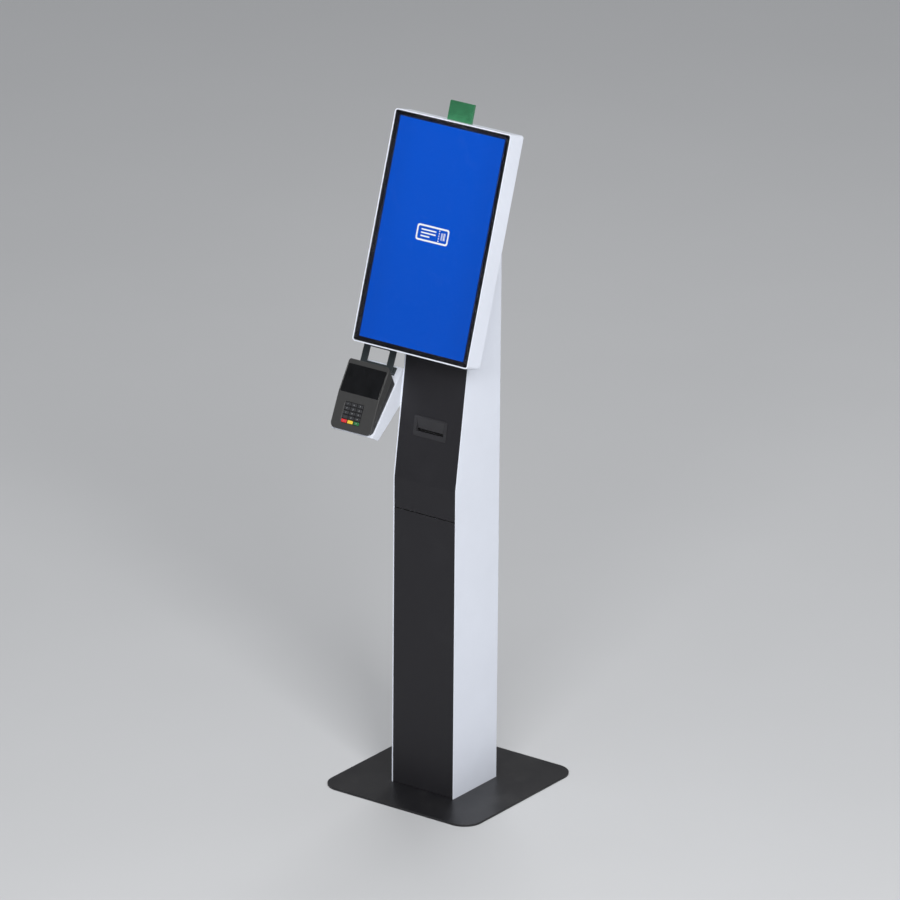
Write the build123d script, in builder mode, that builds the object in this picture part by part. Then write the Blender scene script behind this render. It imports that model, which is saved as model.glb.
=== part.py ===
"""Free-standing self-service ticket machine: base plate, leaning column, touch display, payment terminal.

Millimetres, +Z up. The origin is the centre of the base plate's underside and the front faces -Y.
"""

import os
from math import atan2, cos, radians, sin, tan

from build123d import *

os.makedirs("parts", exist_ok=True)

# Base plate and column
BASE_SIDE = 500.0
BASE_THICK = 6.0
BASE_CORNER = 55.0
COLUMN_WIDTH = 207.0
COLUMN_DEPTH = 197.0
COLUMN_SETBACK = 131.5
COLUMN_TOP = 1650.0
COLUMN_SHEET = 3.0
SEAM_Z = 804.0
KINK_Z = 891.0
LEAN = radians(8.44)
PANEL_RECESS = 1.0
PANEL_SHEET = 2.0
PANEL_RETURN = 16.0
PANEL_GAP = 1.0
SEAM_GAP = 2.4
CAP_THICK = 2.0

# Foot brackets that bolt the column to the base plate
FOOT_LEG = 38.0
FOOT_THICK = 4.0
FOOT_LENGTH = 130.0
FOOT_BOLT_R = 4.0

# Rear door, hinges and cam lock
DOOR_WIDTH = 146.0
DOOR_LOW = 331.0
DOOR_HEIGHT = 998.0
DOOR_GAP = 1.0
DOOR_RETURN = 8.0
HINGE_R = 4.5
PIN_R = 2.5
PIN_FIT = 0.05
LEAF_THICK = 2.0
LEAF_WIDTH = 15.0
KNUCKLE = 20.0
KNUCKLE_GAP = 0.4
LOCK_X = 54.0
LOCK_R = 9.5
BARREL_R = 6.0
BARREL_FIT = 0.06
CAM_LENGTH = 36.0
CAM_THICK = 3.0

# Receipt printer and its paper
BEZEL_WIDTH = 108.0
BEZEL_HEIGHT = 56.0
BEZEL_S = 154.0
BEZEL_LIP = 1.4
BEZEL_WALL = 3.0
BEZEL_DEPTH = 14.0
SLOT_WIDTH = 86.0
SLOT_HEIGHT = 6.4
SLOT_S = 143.0
CHASSIS_WIDTH = 118.0
CHASSIS_HEIGHT = 70.0
CHASSIS_DEPTH = 80.0
CHASSIS_SHEET = 2.0
PLATEN_R = 6.0
PLATEN_PIN_R = 3.0
PLATEN_FIT = 0.05
SHELF_Z = 862.0
SHELF_SHEET = 2.0
ROLL_R = 48.0
ROLL_WIDTH = 80.0
CORE_R = 9.0
SPINDLE_R = 6.0
SPINDLE_FIT = 0.08

# Fan, power inlet and electronics
FAN_SIDE = 80.0
FAN_DEPTH = 25.0
FAN_Z = 1420.0
FAN_TIP_GAP = 1.0
AXLE_R = 3.0
AXLE_FIT = 0.05
INLET_Z = 130.0
INLET_WIDTH = 78.0
INLET_HEIGHT = 32.0
ROCKER_WIDTH = 13.0
ROCKER_HEIGHT = 20.0
ROCKER_GAP = 0.6

# Display head
HEAD_WIDTH = 378.0
HEAD_LENGTH = 628.0
HEAD_DEPTH = 59.0
HEAD_CORNER = 9.0
HEAD_TILT = radians(17.54)
HEAD_EDGE_Y = -191.9
HEAD_EDGE_Z = 1280.0
RIM = 3.2
GLASS_GAP = 0.4
GLASS_THICK = 3.5
GLASS_DROP = 0.5
MASK_THICK = 0.5
ACTIVE_WIDTH = 339.6
ACTIVE_LENGTH = 595.2
PANEL_BORDER = 3.0
LCD_DEPTH = 20.0
MOUNT_LOW = 1478.0
MOUNT_HIGH = 1622.0
MOUNT_WIDTH = 150.0
MOUNT_PLATE = 4.0
CABLE_R = 16.0
VESA = 50.0

# Status beacon
BEACON_WIDTH = 77.0
BEACON_THICK = 8.0
BEACON_RISE = 52.0
BEACON_W = 31.0
BEACON_GRIP = 26.0

# Payment terminal, its bracket and its hoop
TERMINAL_WIDTH = 133.0
TERMINAL_GAP = 4.5
PLATE_TILT = radians(40.7)
PLATE_Y = -212.7
PLATE_Z = 1026.7
PLATE_LENGTH = 209.5
BRACKET_SHEET = 2.5
TERMINAL_WALL = 3.0
KEY_COLUMNS = 3
KEY_ROWS = 5
KEY_PITCH_X = 20.4
KEY_PITCH_F = 11.6
KEY_WIDTH = 17.0
KEY_HEIGHT = 8.6
KEY_GAP = 0.35
KEY_TRAVEL = 1.0
KEYPAD_POCKET = 1.2
KEYPAD_X = -6.5
KEYPAD_F = 52.5
SCREEN_THICK = 1.8
SCREEN_TOP_BORDER = 13.0
HOOP_WIDTH = 106.0
HOOP_BAR = 20.0
HOOP_THICK = 4.0
HOOP_TILT = radians(23.0)
HOOP_A = 184.0
HOOP_RISE = 14.0
HOOP_LENGTH = 76.0
HOOP_LOW_BAR = 11.0
HOOP_FOOT = 22.0
HOOP_THREAD = 3.0

# Sizes that follow from those above
FRONT_Y = -BASE_SIDE / 2 + COLUMN_SETBACK
BACK_Y = FRONT_Y + COLUMN_DEPTH
INNER_X = COLUMN_WIDTH / 2 - COLUMN_SHEET
INNER_BACK_Y = BACK_Y - COLUMN_SHEET
SEAM_LOW = SEAM_Z - SEAM_GAP / 2
SEAM_HIGH = SEAM_Z + SEAM_GAP / 2


def kink_z(depth):
    """Height of the front's bend, on the surface that lies this deep behind the front."""
    return KINK_Z - depth * tan(LEAN / 2)


def lean_y(height, depth=0.0):
    """Y of the surface that lies this deep behind the column's front, at this height."""
    if height <= kink_z(depth):
        return FRONT_Y + depth
    return FRONT_Y + (depth + (height - KINK_Z) * sin(LEAN)) / cos(LEAN)


def front_profile(low, high, near, far):
    """Outline in Y and Z of a strip that follows the column's front between two depths."""
    points = [(lean_y(low, near), low)]
    if low < kink_z(near) < high:
        points.append((lean_y(low, near), kink_z(near)))
    points.append((lean_y(high, near), high))
    points.append((lean_y(high, far), high))
    if low < kink_z(far) < high:
        points.append((lean_y(low, far), kink_z(far)))
    points.append((lean_y(low, far), low))
    return points


# The leaning part of the front panel: X across, s up the slope, w out towards the front
PANEL = Plane(
    origin=(0, FRONT_Y + PANEL_RECESS, kink_z(PANEL_RECESS)),
    x_dir=(1, 0, 0),
    z_dir=(0, -cos(LEAN), sin(LEAN)),
)
# The display head's front: X across, s up the face from its lower edge, w out towards the front
HEAD = Plane(
    origin=(0, HEAD_EDGE_Y, HEAD_EDGE_Z),
    x_dir=(1, 0, 0),
    z_dir=(0, -cos(HEAD_TILT), sin(HEAD_TILT)),
)
# The terminal's bracket plate: X across from the terminal's centre, a up the plate, h off the plate
TERMINAL_X = -COLUMN_WIDTH / 2 - TERMINAL_GAP - TERMINAL_WIDTH / 2
PLATE = Plane(
    origin=(TERMINAL_X, PLATE_Y, PLATE_Z),
    x_dir=(1, 0, 0),
    z_dir=(0, -cos(PLATE_TILT), sin(PLATE_TILT)),
)
# The same plate from the side: a to the right, h up, extruding towards +X
PLATE_SIDE = Plane(
    origin=(TERMINAL_X, PLATE_Y, PLATE_Z),
    x_dir=(0, sin(PLATE_TILT), cos(PLATE_TILT)),
    z_dir=(1, 0, 0),
)

# ---------------------------------------------------------------- base and column
FOOT_X = INNER_X - FOOT_LEG / 2 - 4
FOOT_Y = (FRONT_Y + BACK_Y) / 2 + 4
FOOT_HOLES = [
    (side * FOOT_X, FOOT_Y + end * FOOT_LENGTH * 0.34)
    for side in (-1, 1)
    for end in (-1, 1)
]
with BuildPart() as base_plate:
    with BuildSketch(Plane.XY):
        RectangleRounded(BASE_SIDE, BASE_SIDE, BASE_CORNER)
    extrude(amount=BASE_THICK)
    chamfer(base_plate.faces().sort_by(Axis.Z)[-1].edges(), length=0.8)
    with BuildSketch(Plane.XY):
        with Locations(*FOOT_HOLES):
            Circle(FOOT_BOLT_R)
    extrude(amount=BASE_THICK, mode=Mode.SUBTRACT)
base_plate.part.label = "base_plate"
export_step(base_plate.part, "parts/base_plate.step")

with BuildPart() as foot_brackets:
    with BuildSketch(Plane.XZ.offset(-FOOT_Y - FOOT_LENGTH / 2)):
        for side in (-1, 1):
            with BuildLine():
                Polyline(
                    (side * INNER_X, BASE_THICK),
                    (side * (INNER_X - FOOT_LEG), BASE_THICK),
                    (side * (INNER_X - FOOT_LEG), BASE_THICK + FOOT_THICK),
                    (side * (INNER_X - FOOT_THICK), BASE_THICK + FOOT_THICK),
                    (side * (INNER_X - FOOT_THICK), BASE_THICK + FOOT_LEG),
                    (side * INNER_X, BASE_THICK + FOOT_LEG),
                    close=True,
                )
            make_face()
    extrude(amount=FOOT_LENGTH)
    with BuildSketch(Plane.XY.offset(BASE_THICK)):
        with Locations(*FOOT_HOLES):
            Circle(FOOT_BOLT_R + 0.5)
    extrude(amount=FOOT_THICK, mode=Mode.SUBTRACT)
foot_brackets.part.label = "foot_brackets"
export_step(foot_brackets.part, "parts/foot_brackets.step")

with BuildPart() as foot_bolts:
    with BuildSketch(Plane.XY.offset(0.6)):
        with Locations(*FOOT_HOLES):
            Circle(FOOT_BOLT_R)
    extrude(amount=BASE_THICK + FOOT_THICK - 0.6)
    with BuildSketch(Plane.XY.offset(BASE_THICK + FOOT_THICK)):
        with Locations(*FOOT_HOLES):
            RegularPolygon(7.5, 6)
    extrude(amount=5.3)
foot_bolts.part.label = "foot_bolts"
export_step(foot_bolts.part, "parts/foot_bolts.step")

MOUNT_MID = (MOUNT_LOW + MOUNT_HIGH) / 2
MOUNT_S = (MOUNT_MID - KINK_Z) / cos(LEAN)
HINGE_HEIGHTS = [DOOR_LOW + DOOR_HEIGHT * share for share in (0.12, 0.5, 0.88)]
HINGE_X = -DOOR_WIDTH / 2 - DOOR_GAP
HINGE_Y = BACK_Y + HINGE_R
LOCK_Z = DOOR_LOW + DOOR_HEIGHT / 2
INLET_X = 40.0


def plate_point(along, off):
    """Y and Z of a point given along the terminal's bracket plate and off it."""
    up = along * sin(PLATE_TILT) - off * cos(PLATE_TILT)
    return PLATE_Y + up, PLATE_Z + along * cos(PLATE_TILT) + off * sin(PLATE_TILT)


CHEEK_SCREWS = [
    plate_point(PLATE_LENGTH - along, off)
    for along, off in ((42, -52), (15, -63), (30, -24), (8, -36))
]

with BuildPart() as column_shell:
    with BuildSketch(Plane.YZ):
        with BuildLine():
            Polyline(
                (FRONT_Y, BASE_THICK),
                (FRONT_Y, KINK_Z),
                (lean_y(COLUMN_TOP), COLUMN_TOP),
                (BACK_Y, COLUMN_TOP),
                (BACK_Y, BASE_THICK),
                close=True,
            )
        make_face()
    extrude(amount=COLUMN_WIDTH / 2, both=True)
    with BuildSketch(Plane.XY.offset(BASE_THICK)):
        with Locations((0, INNER_BACK_Y - COLUMN_DEPTH / 2)):
            Rectangle(2 * INNER_X, COLUMN_DEPTH)
    extrude(amount=COLUMN_TOP, mode=Mode.SUBTRACT)
    # Openings in the back wall: door, power inlet and fan grille
    with BuildSketch(Plane.XZ.offset(-BACK_Y)):
        with Locations((0, DOOR_LOW + DOOR_HEIGHT / 2)):
            Rectangle(DOOR_WIDTH + 2 * DOOR_GAP, DOOR_HEIGHT + 2 * DOOR_GAP)
        with Locations((INLET_X, INLET_Z)):
            Rectangle(INLET_WIDTH - 8, INLET_HEIGHT - 8)
        with Locations((0, FAN_Z)):
            with GridLocations(0, 9, 1, 8):
                SlotOverall(FAN_SIDE - 12, 5)
    extrude(amount=COLUMN_SHEET, mode=Mode.SUBTRACT)
    with BuildSketch(Plane.YZ.offset(-COLUMN_WIDTH / 2)):
        with Locations(*CHEEK_SCREWS):
            Circle(2.5)
    extrude(amount=COLUMN_SHEET, mode=Mode.SUBTRACT)
column_shell.part.label = "column_shell"
export_step(column_shell.part, "parts/column_shell.step")

with BuildPart() as lower_front_panel:
    with BuildSketch(Plane.YZ):
        with BuildLine():
            Polyline(
                *front_profile(
                    BASE_THICK + PANEL_GAP, SEAM_LOW, PANEL_RECESS, PANEL_RECESS + PANEL_RETURN
                ),
                close=True,
            )
        make_face()
    extrude(amount=INNER_X, both=True)
    with BuildSketch(Plane.YZ):
        with BuildLine():
            Polyline(
                *front_profile(0, SEAM_Z, PANEL_RECESS + PANEL_SHEET, PANEL_RECESS + 2 * PANEL_RETURN),
                close=True,
            )
        make_face()
    extrude(amount=INNER_X - PANEL_SHEET, both=True, mode=Mode.SUBTRACT)
lower_front_panel.part.label = "lower_front_panel"
export_step(lower_front_panel.part, "parts/lower_front_panel.step")

with BuildPart() as upper_front_panel:
    with BuildSketch(Plane.YZ):
        with BuildLine():
            Polyline(
                *front_profile(
                    SEAM_HIGH, COLUMN_TOP - PANEL_GAP, PANEL_RECESS, PANEL_RECESS + PANEL_RETURN
                ),
                close=True,
            )
        make_face()
    extrude(amount=INNER_X, both=True)
    with BuildSketch(Plane.YZ):
        with BuildLine():
            Polyline(
                *front_profile(
                    SEAM_Z - 1, COLUMN_TOP, PANEL_RECESS + PANEL_SHEET, PANEL_RECESS + 2 * PANEL_RETURN
                ),
                close=True,
            )
        make_face()
    extrude(amount=INNER_X - PANEL_SHEET, both=True, mode=Mode.SUBTRACT)
    # Printer cut-out, mount bolt holes and the cable hole behind the display head
    with BuildSketch(PANEL):
        with Locations((0, BEZEL_S)):
            Rectangle(BEZEL_WIDTH - 8, BEZEL_HEIGHT - 8)
        with Locations((0, MOUNT_S)):
            Circle(CABLE_R)
            with GridLocations(MOUNT_WIDTH - 36, 90, 2, 2):
                Circle(3)
    extrude(amount=-PANEL_SHEET, mode=Mode.SUBTRACT)
upper_front_panel.part.label = "upper_front_panel"
export_step(upper_front_panel.part, "parts/upper_front_panel.step")

with BuildPart() as column_cap:
    with BuildSketch(Plane.XY.offset(COLUMN_TOP)):
        with Locations((0, (lean_y(COLUMN_TOP) + BACK_Y) / 2)):
            RectangleRounded(COLUMN_WIDTH, BACK_Y - lean_y(COLUMN_TOP), 2)
    extrude(amount=CAP_THICK)
    # Side lips that sit inside the walls
    with BuildSketch(Plane.XY.offset(COLUMN_TOP)):
        for side in (-1, 1):
            with Locations((side * (INNER_X - 1), BACK_Y - 30)):
                Rectangle(2, 40)
    extrude(amount=-14)
column_cap.part.label = "column_cap"
export_step(column_cap.part, "parts/column_cap.step")

# ---------------------------------------------------------------- rear door
DOOR_MID_Z = DOOR_LOW + DOOR_HEIGHT / 2
with BuildPart() as rear_door:
    with BuildSketch(Plane.XZ.offset(-BACK_Y)):
        with Locations((0, DOOR_MID_Z)):
            Rectangle(DOOR_WIDTH, DOOR_HEIGHT)
    extrude(amount=COLUMN_SHEET)
    with BuildSketch(Plane.XZ.offset(-INNER_BACK_Y)):
        with Locations((0, DOOR_MID_Z)):
            Rectangle(DOOR_WIDTH - 8, DOOR_HEIGHT - 8)
            Rectangle(DOOR_WIDTH - 12, DOOR_HEIGHT - 12, mode=Mode.SUBTRACT)
    extrude(amount=DOOR_RETURN)
    with BuildSketch(Plane.XZ.offset(-BACK_Y)):
        with Locations((LOCK_X, LOCK_Z)):
            Circle(LOCK_R)
        for vent_z in (DOOR_LOW + 90, DOOR_LOW + DOOR_HEIGHT - 90):
            with Locations((0, vent_z)):
                with GridLocations(0, 10, 1, 8):
                    SlotOverall(96, 5)
    extrude(amount=COLUMN_SHEET, mode=Mode.SUBTRACT)
rear_door.part.label = "rear_door"
export_step(rear_door.part, "parts/rear_door.step")

with BuildPart() as hinge_column_leaves:
    for height in HINGE_HEIGHTS:
        low = height - 1.5 * KNUCKLE
        with BuildSketch(Plane.XY.offset(low)):
            with Locations((HINGE_X - HINGE_R - KNUCKLE_GAP - LEAF_WIDTH / 2, BACK_Y + LEAF_THICK / 2)):
                Rectangle(LEAF_WIDTH, LEAF_THICK)
        extrude(amount=3 * KNUCKLE)
        for start in (low, low + 2 * KNUCKLE):
            with BuildSketch(Plane.XY.offset(start)):
                with Locations((HINGE_X, HINGE_Y)):
                    Circle(HINGE_R)
                with Locations((HINGE_X - 3, BACK_Y + LEAF_THICK / 2)):
                    Rectangle(6, LEAF_THICK)
            extrude(amount=KNUCKLE)
        with BuildSketch(Plane.XY.offset(low)):
            with Locations((HINGE_X, HINGE_Y)):
                Circle(PIN_R)
        extrude(amount=3 * KNUCKLE)
hinge_column_leaves.part.label = "hinge_column_leaves"
export_step(hinge_column_leaves.part, "parts/hinge_column_leaves.step")

with BuildPart() as hinge_door_leaves:
    for height in HINGE_HEIGHTS:
        low = height - 1.5 * KNUCKLE
        with BuildSketch(Plane.XY.offset(low)):
            with Locations((HINGE_X + HINGE_R + KNUCKLE_GAP + LEAF_WIDTH / 2, BACK_Y + LEAF_THICK / 2)):
                Rectangle(LEAF_WIDTH, LEAF_THICK)
        extrude(amount=3 * KNUCKLE)
        with BuildSketch(Plane.XY.offset(height - KNUCKLE / 2 + KNUCKLE_GAP)):
            with Locations((HINGE_X, HINGE_Y)):
                Circle(HINGE_R)
            with Locations((HINGE_X + 3, BACK_Y + LEAF_THICK / 2)):
                Rectangle(6, LEAF_THICK)
            with Locations((HINGE_X, HINGE_Y)):
                Circle(PIN_R + PIN_FIT, mode=Mode.SUBTRACT)
        extrude(amount=KNUCKLE - 2 * KNUCKLE_GAP)
hinge_door_leaves.part.label = "hinge_door_leaves"
export_step(hinge_door_leaves.part, "parts/hinge_door_leaves.step")

LOCK_FACE_Y = BACK_Y + 2
LOCK_END_Y = INNER_BACK_Y - DOOR_RETURN - 2
with BuildPart() as lock_housing:
    with BuildSketch(Plane.XZ.offset(-LOCK_FACE_Y)):
        with Locations((LOCK_X, LOCK_Z)):
            Circle(LOCK_R + 2)
    extrude(amount=2)
    with BuildSketch(Plane.XZ.offset(-BACK_Y)):
        with Locations((LOCK_X, LOCK_Z)):
            Circle(LOCK_R)
    extrude(amount=BACK_Y - LOCK_END_Y)
    with BuildSketch(Plane.XZ.offset(-LOCK_FACE_Y)):
        with Locations((LOCK_X, LOCK_Z)):
            Circle(BARREL_R + BARREL_FIT)
    extrude(amount=LOCK_FACE_Y - LOCK_END_Y, mode=Mode.SUBTRACT)
lock_housing.part.label = "lock_housing"
export_step(lock_housing.part, "parts/lock_housing.step")

CAM_Y = LOCK_END_Y - 0.5
with BuildPart() as lock_barrel:
    with BuildSketch(Plane.XZ.offset(-LOCK_FACE_Y - 0.5)):
        with Locations((LOCK_X, LOCK_Z)):
            Circle(BARREL_R)
    extrude(amount=LOCK_FACE_Y + 0.5 - CAM_Y)
    with BuildSketch(Plane.XZ.offset(-CAM_Y)):
        with Locations((LOCK_X, LOCK_Z)):
            Rectangle(7, 7)
    extrude(amount=CAM_THICK + 2)
    with BuildSketch(Plane.XZ.offset(-LOCK_FACE_Y - 0.5)):
        with Locations((LOCK_X, LOCK_Z)):
            Rectangle(1.6, 8)
    extrude(amount=5, mode=Mode.SUBTRACT)
lock_barrel.part.label = "lock_barrel"
export_step(lock_barrel.part, "parts/lock_barrel.step")

with BuildPart() as lock_cam:
    with BuildSketch(Plane.XZ.offset(-CAM_Y)):
        with Locations((LOCK_X, LOCK_Z - CAM_LENGTH / 2 + 8)):
            RectangleRounded(16, CAM_LENGTH, 7.9)
        with Locations((LOCK_X, LOCK_Z)):
            Rectangle(7, 7, mode=Mode.SUBTRACT)
    extrude(amount=CAM_THICK)
lock_cam.part.label = "lock_cam"
export_step(lock_cam.part, "parts/lock_cam.step")

# ---------------------------------------------------------------- receipt printer
with BuildPart() as printer_bezel:
    with BuildSketch(PANEL):
        with Locations((0, BEZEL_S)):
            RectangleRounded(BEZEL_WIDTH, BEZEL_HEIGHT, 7)
    extrude(amount=BEZEL_LIP)
    with BuildSketch(PANEL):
        with Locations((0, BEZEL_S)):
            Rectangle(BEZEL_WIDTH - 8, BEZEL_HEIGHT - 8)
    extrude(amount=-BEZEL_DEPTH)
    # Hollow behind the face
    with BuildSketch(PANEL.offset(-BEZEL_DEPTH)):
        with Locations((0, BEZEL_S)):
            Rectangle(BEZEL_WIDTH - 8 - 2 * BEZEL_WALL, BEZEL_HEIGHT - 8 - 2 * BEZEL_WALL)
    extrude(amount=BEZEL_DEPTH - 8, mode=Mode.SUBTRACT)
    # Scooped recess that deepens towards the slot
    with BuildSketch(Plane(origin=PANEL.from_local_coords((-44, 0, 0)), x_dir=PANEL.y_dir, z_dir=(1, 0, 0))):
        with BuildLine():
            Polyline(
                (BEZEL_S + BEZEL_HEIGHT / 2 - 6, BEZEL_LIP),
                (SLOT_S - SLOT_HEIGHT / 2, -4.6),
                (SLOT_S - SLOT_HEIGHT / 2, 9),
                (BEZEL_S + BEZEL_HEIGHT / 2 - 6, 9),
                close=True,
            )
        make_face()
    extrude(amount=88, mode=Mode.SUBTRACT)
    with BuildSketch(PANEL.offset(BEZEL_LIP)):
        with Locations((0, SLOT_S)):
            Rectangle(SLOT_WIDTH, SLOT_HEIGHT)
    extrude(amount=-BEZEL_LIP - BEZEL_DEPTH, mode=Mode.SUBTRACT)
printer_bezel.part.label = "printer_bezel"
export_step(printer_bezel.part, "parts/printer_bezel.step")

# Printer plane measurements: the chassis hangs from the back of the leaning panel
CHASSIS_S = SLOT_S + 4
with BuildPart() as printer_chassis:
    with BuildSketch(PANEL.offset(-PANEL_SHEET)):
        with Locations((0, CHASSIS_S)):
            Rectangle(CHASSIS_WIDTH, CHASSIS_HEIGHT)
            Rectangle(
                CHASSIS_WIDTH - 2 * CHASSIS_SHEET, CHASSIS_HEIGHT - 2 * CHASSIS_SHEET, mode=Mode.SUBTRACT
            )
    extrude(amount=-CHASSIS_DEPTH)
    # Two throat plates above and below the paper path
    with BuildSketch(PANEL.offset(-BEZEL_DEPTH - 4)):
        for side in (-1, 1):
            with Locations((0, SLOT_S + side * (SLOT_HEIGHT / 2 + 1))):
                Rectangle(CHASSIS_WIDTH - 2 * CHASSIS_SHEET, 2)
    extrude(amount=-16)
    # Platen bearings through the side walls
    with BuildSketch(
        Plane(
            origin=PANEL.from_local_coords((-CHASSIS_WIDTH / 2, SLOT_S - PLATEN_R - 0.4, -44)),
            x_dir=PANEL.y_dir,
            z_dir=(1, 0, 0),
        )
    ):
        Circle(PLATEN_PIN_R + PLATEN_FIT)
    extrude(amount=CHASSIS_WIDTH, mode=Mode.SUBTRACT)
printer_chassis.part.label = "printer_chassis"
export_step(printer_chassis.part, "parts/printer_chassis.step")

PLATEN = Plane(
    origin=PANEL.from_local_coords((0, SLOT_S - PLATEN_R - 0.4, -44)),
    x_dir=PANEL.y_dir,
    z_dir=(1, 0, 0),
)
PLATEN_HALF = CHASSIS_WIDTH / 2 - CHASSIS_SHEET - 5
with BuildPart() as platen_roller:
    with BuildSketch(PLATEN):
        Circle(PLATEN_R)
    extrude(amount=PLATEN_HALF, both=True)
    with BuildSketch(PLATEN):
        Circle(PLATEN_PIN_R)
    extrude(amount=CHASSIS_WIDTH / 2 + 2, both=True)
    # Knob for feeding paper by hand, outside the chassis
    with BuildSketch(PLATEN.offset(CHASSIS_WIDTH / 2 + 0.6)):
        Circle(8)
        with PolarLocations(8, 12):
            Circle(1, mode=Mode.SUBTRACT)
    extrude(amount=8)
platen_roller.part.label = "platen_roller"
export_step(platen_roller.part, "parts/platen_roller.step")

with BuildPart() as print_head:
    with BuildSketch(PANEL.offset(-34)):
        with Locations((0, SLOT_S + 7)):
            Rectangle(CHASSIS_WIDTH - 2 * CHASSIS_SHEET, 13.2)
    extrude(amount=-20)
    with BuildSketch(PANEL.offset(-36)):
        with Locations((0, SLOT_S + 20)):
            Rectangle(70, 14)
    extrude(amount=-3)
print_head.part.label = "print_head"
export_step(print_head.part, "parts/print_head.step")

ROLL_Y = -14.0
ROLL_Z = SHELF_Z + SHELF_SHEET + ROLL_R + 6
HOLDER_X = ROLL_WIDTH / 2 + 2.5
SHELF_FRONT = FRONT_Y + PANEL_RECESS + PANEL_RETURN + 8
with BuildPart() as paper_shelf:
    with BuildSketch(Plane.XY.offset(SHELF_Z)):
        with Locations((0, (SHELF_FRONT + 50) / 2)):
            Rectangle(2 * INNER_X, 50 - SHELF_FRONT)
    extrude(amount=SHELF_SHEET)
    with BuildSketch(Plane.XY.offset(SHELF_Z)):
        for side in (-1, 1):
            with Locations((side * (INNER_X - 1), (SHELF_FRONT + 50) / 2)):
                Rectangle(2, 50 - SHELF_FRONT)
    extrude(amount=-18)
paper_shelf.part.label = "paper_shelf"
export_step(paper_shelf.part, "parts/paper_shelf.step")

with BuildPart() as roll_holder:
    with BuildSketch(Plane.XY.offset(SHELF_Z + SHELF_SHEET)):
        with Locations((0, ROLL_Y)):
            Rectangle(2 * HOLDER_X + 4, 50)
    extrude(amount=2)
    for side in (-1, 1):
        with BuildSketch(Plane.YZ.offset(side * (HOLDER_X + 1) - 1)):
            with BuildLine():
                Polyline(
                    (ROLL_Y - 25, SHELF_Z + SHELF_SHEET),
                    (ROLL_Y + 25, SHELF_Z + SHELF_SHEET),
                    (ROLL_Y + 12, ROLL_Z + 12),
                    (ROLL_Y - 12, ROLL_Z + 12),
                    close=True,
                )
            make_face()
        extrude(amount=2)
    with BuildSketch(Plane.YZ):
        with Locations((ROLL_Y, ROLL_Z)):
            Circle(SPINDLE_R)
    extrude(amount=HOLDER_X, both=True)
roll_holder.part.label = "roll_holder"
export_step(roll_holder.part, "parts/roll_holder.step")

with BuildPart() as paper_roll:
    with BuildSketch(Plane.YZ):
        with Locations((ROLL_Y, ROLL_Z)):
            Circle(ROLL_R)
            Circle(CORE_R, mode=Mode.SUBTRACT)
    extrude(amount=ROLL_WIDTH / 2, both=True)
paper_roll.part.label = "paper_roll"
export_step(paper_roll.part, "parts/paper_roll.step")

with BuildPart() as roll_core:
    with BuildSketch(Plane.YZ):
        with Locations((ROLL_Y, ROLL_Z)):
            Circle(CORE_R)
            Circle(SPINDLE_R + SPINDLE_FIT, mode=Mode.SUBTRACT)
    extrude(amount=ROLL_WIDTH / 2, both=True)
roll_core.part.label = "roll_core"
export_step(roll_core.part, "parts/roll_core.step")

# ---------------------------------------------------------------- electronics, fan and inlet
with BuildPart() as computer_box:
    with BuildSketch(Plane.YZ.offset(INNER_X)):
        with Locations((-20, 640)):
            RectangleRounded(120, 180, 3)
    extrude(amount=-38)
    # Cooling ribs
    with BuildSketch(Plane.YZ.offset(INNER_X - 38)):
        with Locations((-20, 640)):
            with GridLocations(0, 14, 1, 12):
                Rectangle(110, 4)
    extrude(amount=-5)
computer_box.part.label = "computer_box"
export_step(computer_box.part, "parts/computer_box.step")

with BuildPart() as power_supply:
    with BuildSketch(Plane.YZ.offset(-INNER_X)):
        with Locations((-20, 420)):
            Rectangle(100, 190)
    extrude(amount=42)
    with BuildSketch(Plane.YZ.offset(-INNER_X + 42)):
        with Locations((-20, 430)):
            with GridLocations(9, 9, 8, 12):
                Circle(2.5)
    extrude(amount=-2, mode=Mode.SUBTRACT)
    with BuildSketch(Plane.YZ.offset(-INNER_X + 10)):
        with Locations((-20, 320)):
            Rectangle(90, 10)
    extrude(amount=14)
power_supply.part.label = "power_supply"
export_step(power_supply.part, "parts/power_supply.step")

FAN_FACE = Plane.XZ.offset(-INNER_BACK_Y)
with BuildPart() as fan_frame:
    with BuildSketch(FAN_FACE):
        with Locations((0, FAN_Z)):
            RectangleRounded(FAN_SIDE, FAN_SIDE, 4)
            Circle(FAN_SIDE / 2 - 2, mode=Mode.SUBTRACT)
            with GridLocations(FAN_SIDE - 9, FAN_SIDE - 9, 2, 2):
                Circle(2.2, mode=Mode.SUBTRACT)
    extrude(amount=FAN_DEPTH)
    # Motor plate on three struts, with the axle
    with BuildSketch(FAN_FACE):
        with Locations((0, FAN_Z)):
            Circle(14)
            with PolarLocations(26, 3, start_angle=90):
                Rectangle(28, 4)
    extrude(amount=3)
    with BuildSketch(FAN_FACE):
        with Locations((0, FAN_Z)):
            Circle(AXLE_R)
    extrude(amount=FAN_DEPTH - 6)
fan_frame.part.label = "fan_frame"
export_step(fan_frame.part, "parts/fan_frame.step")

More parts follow.
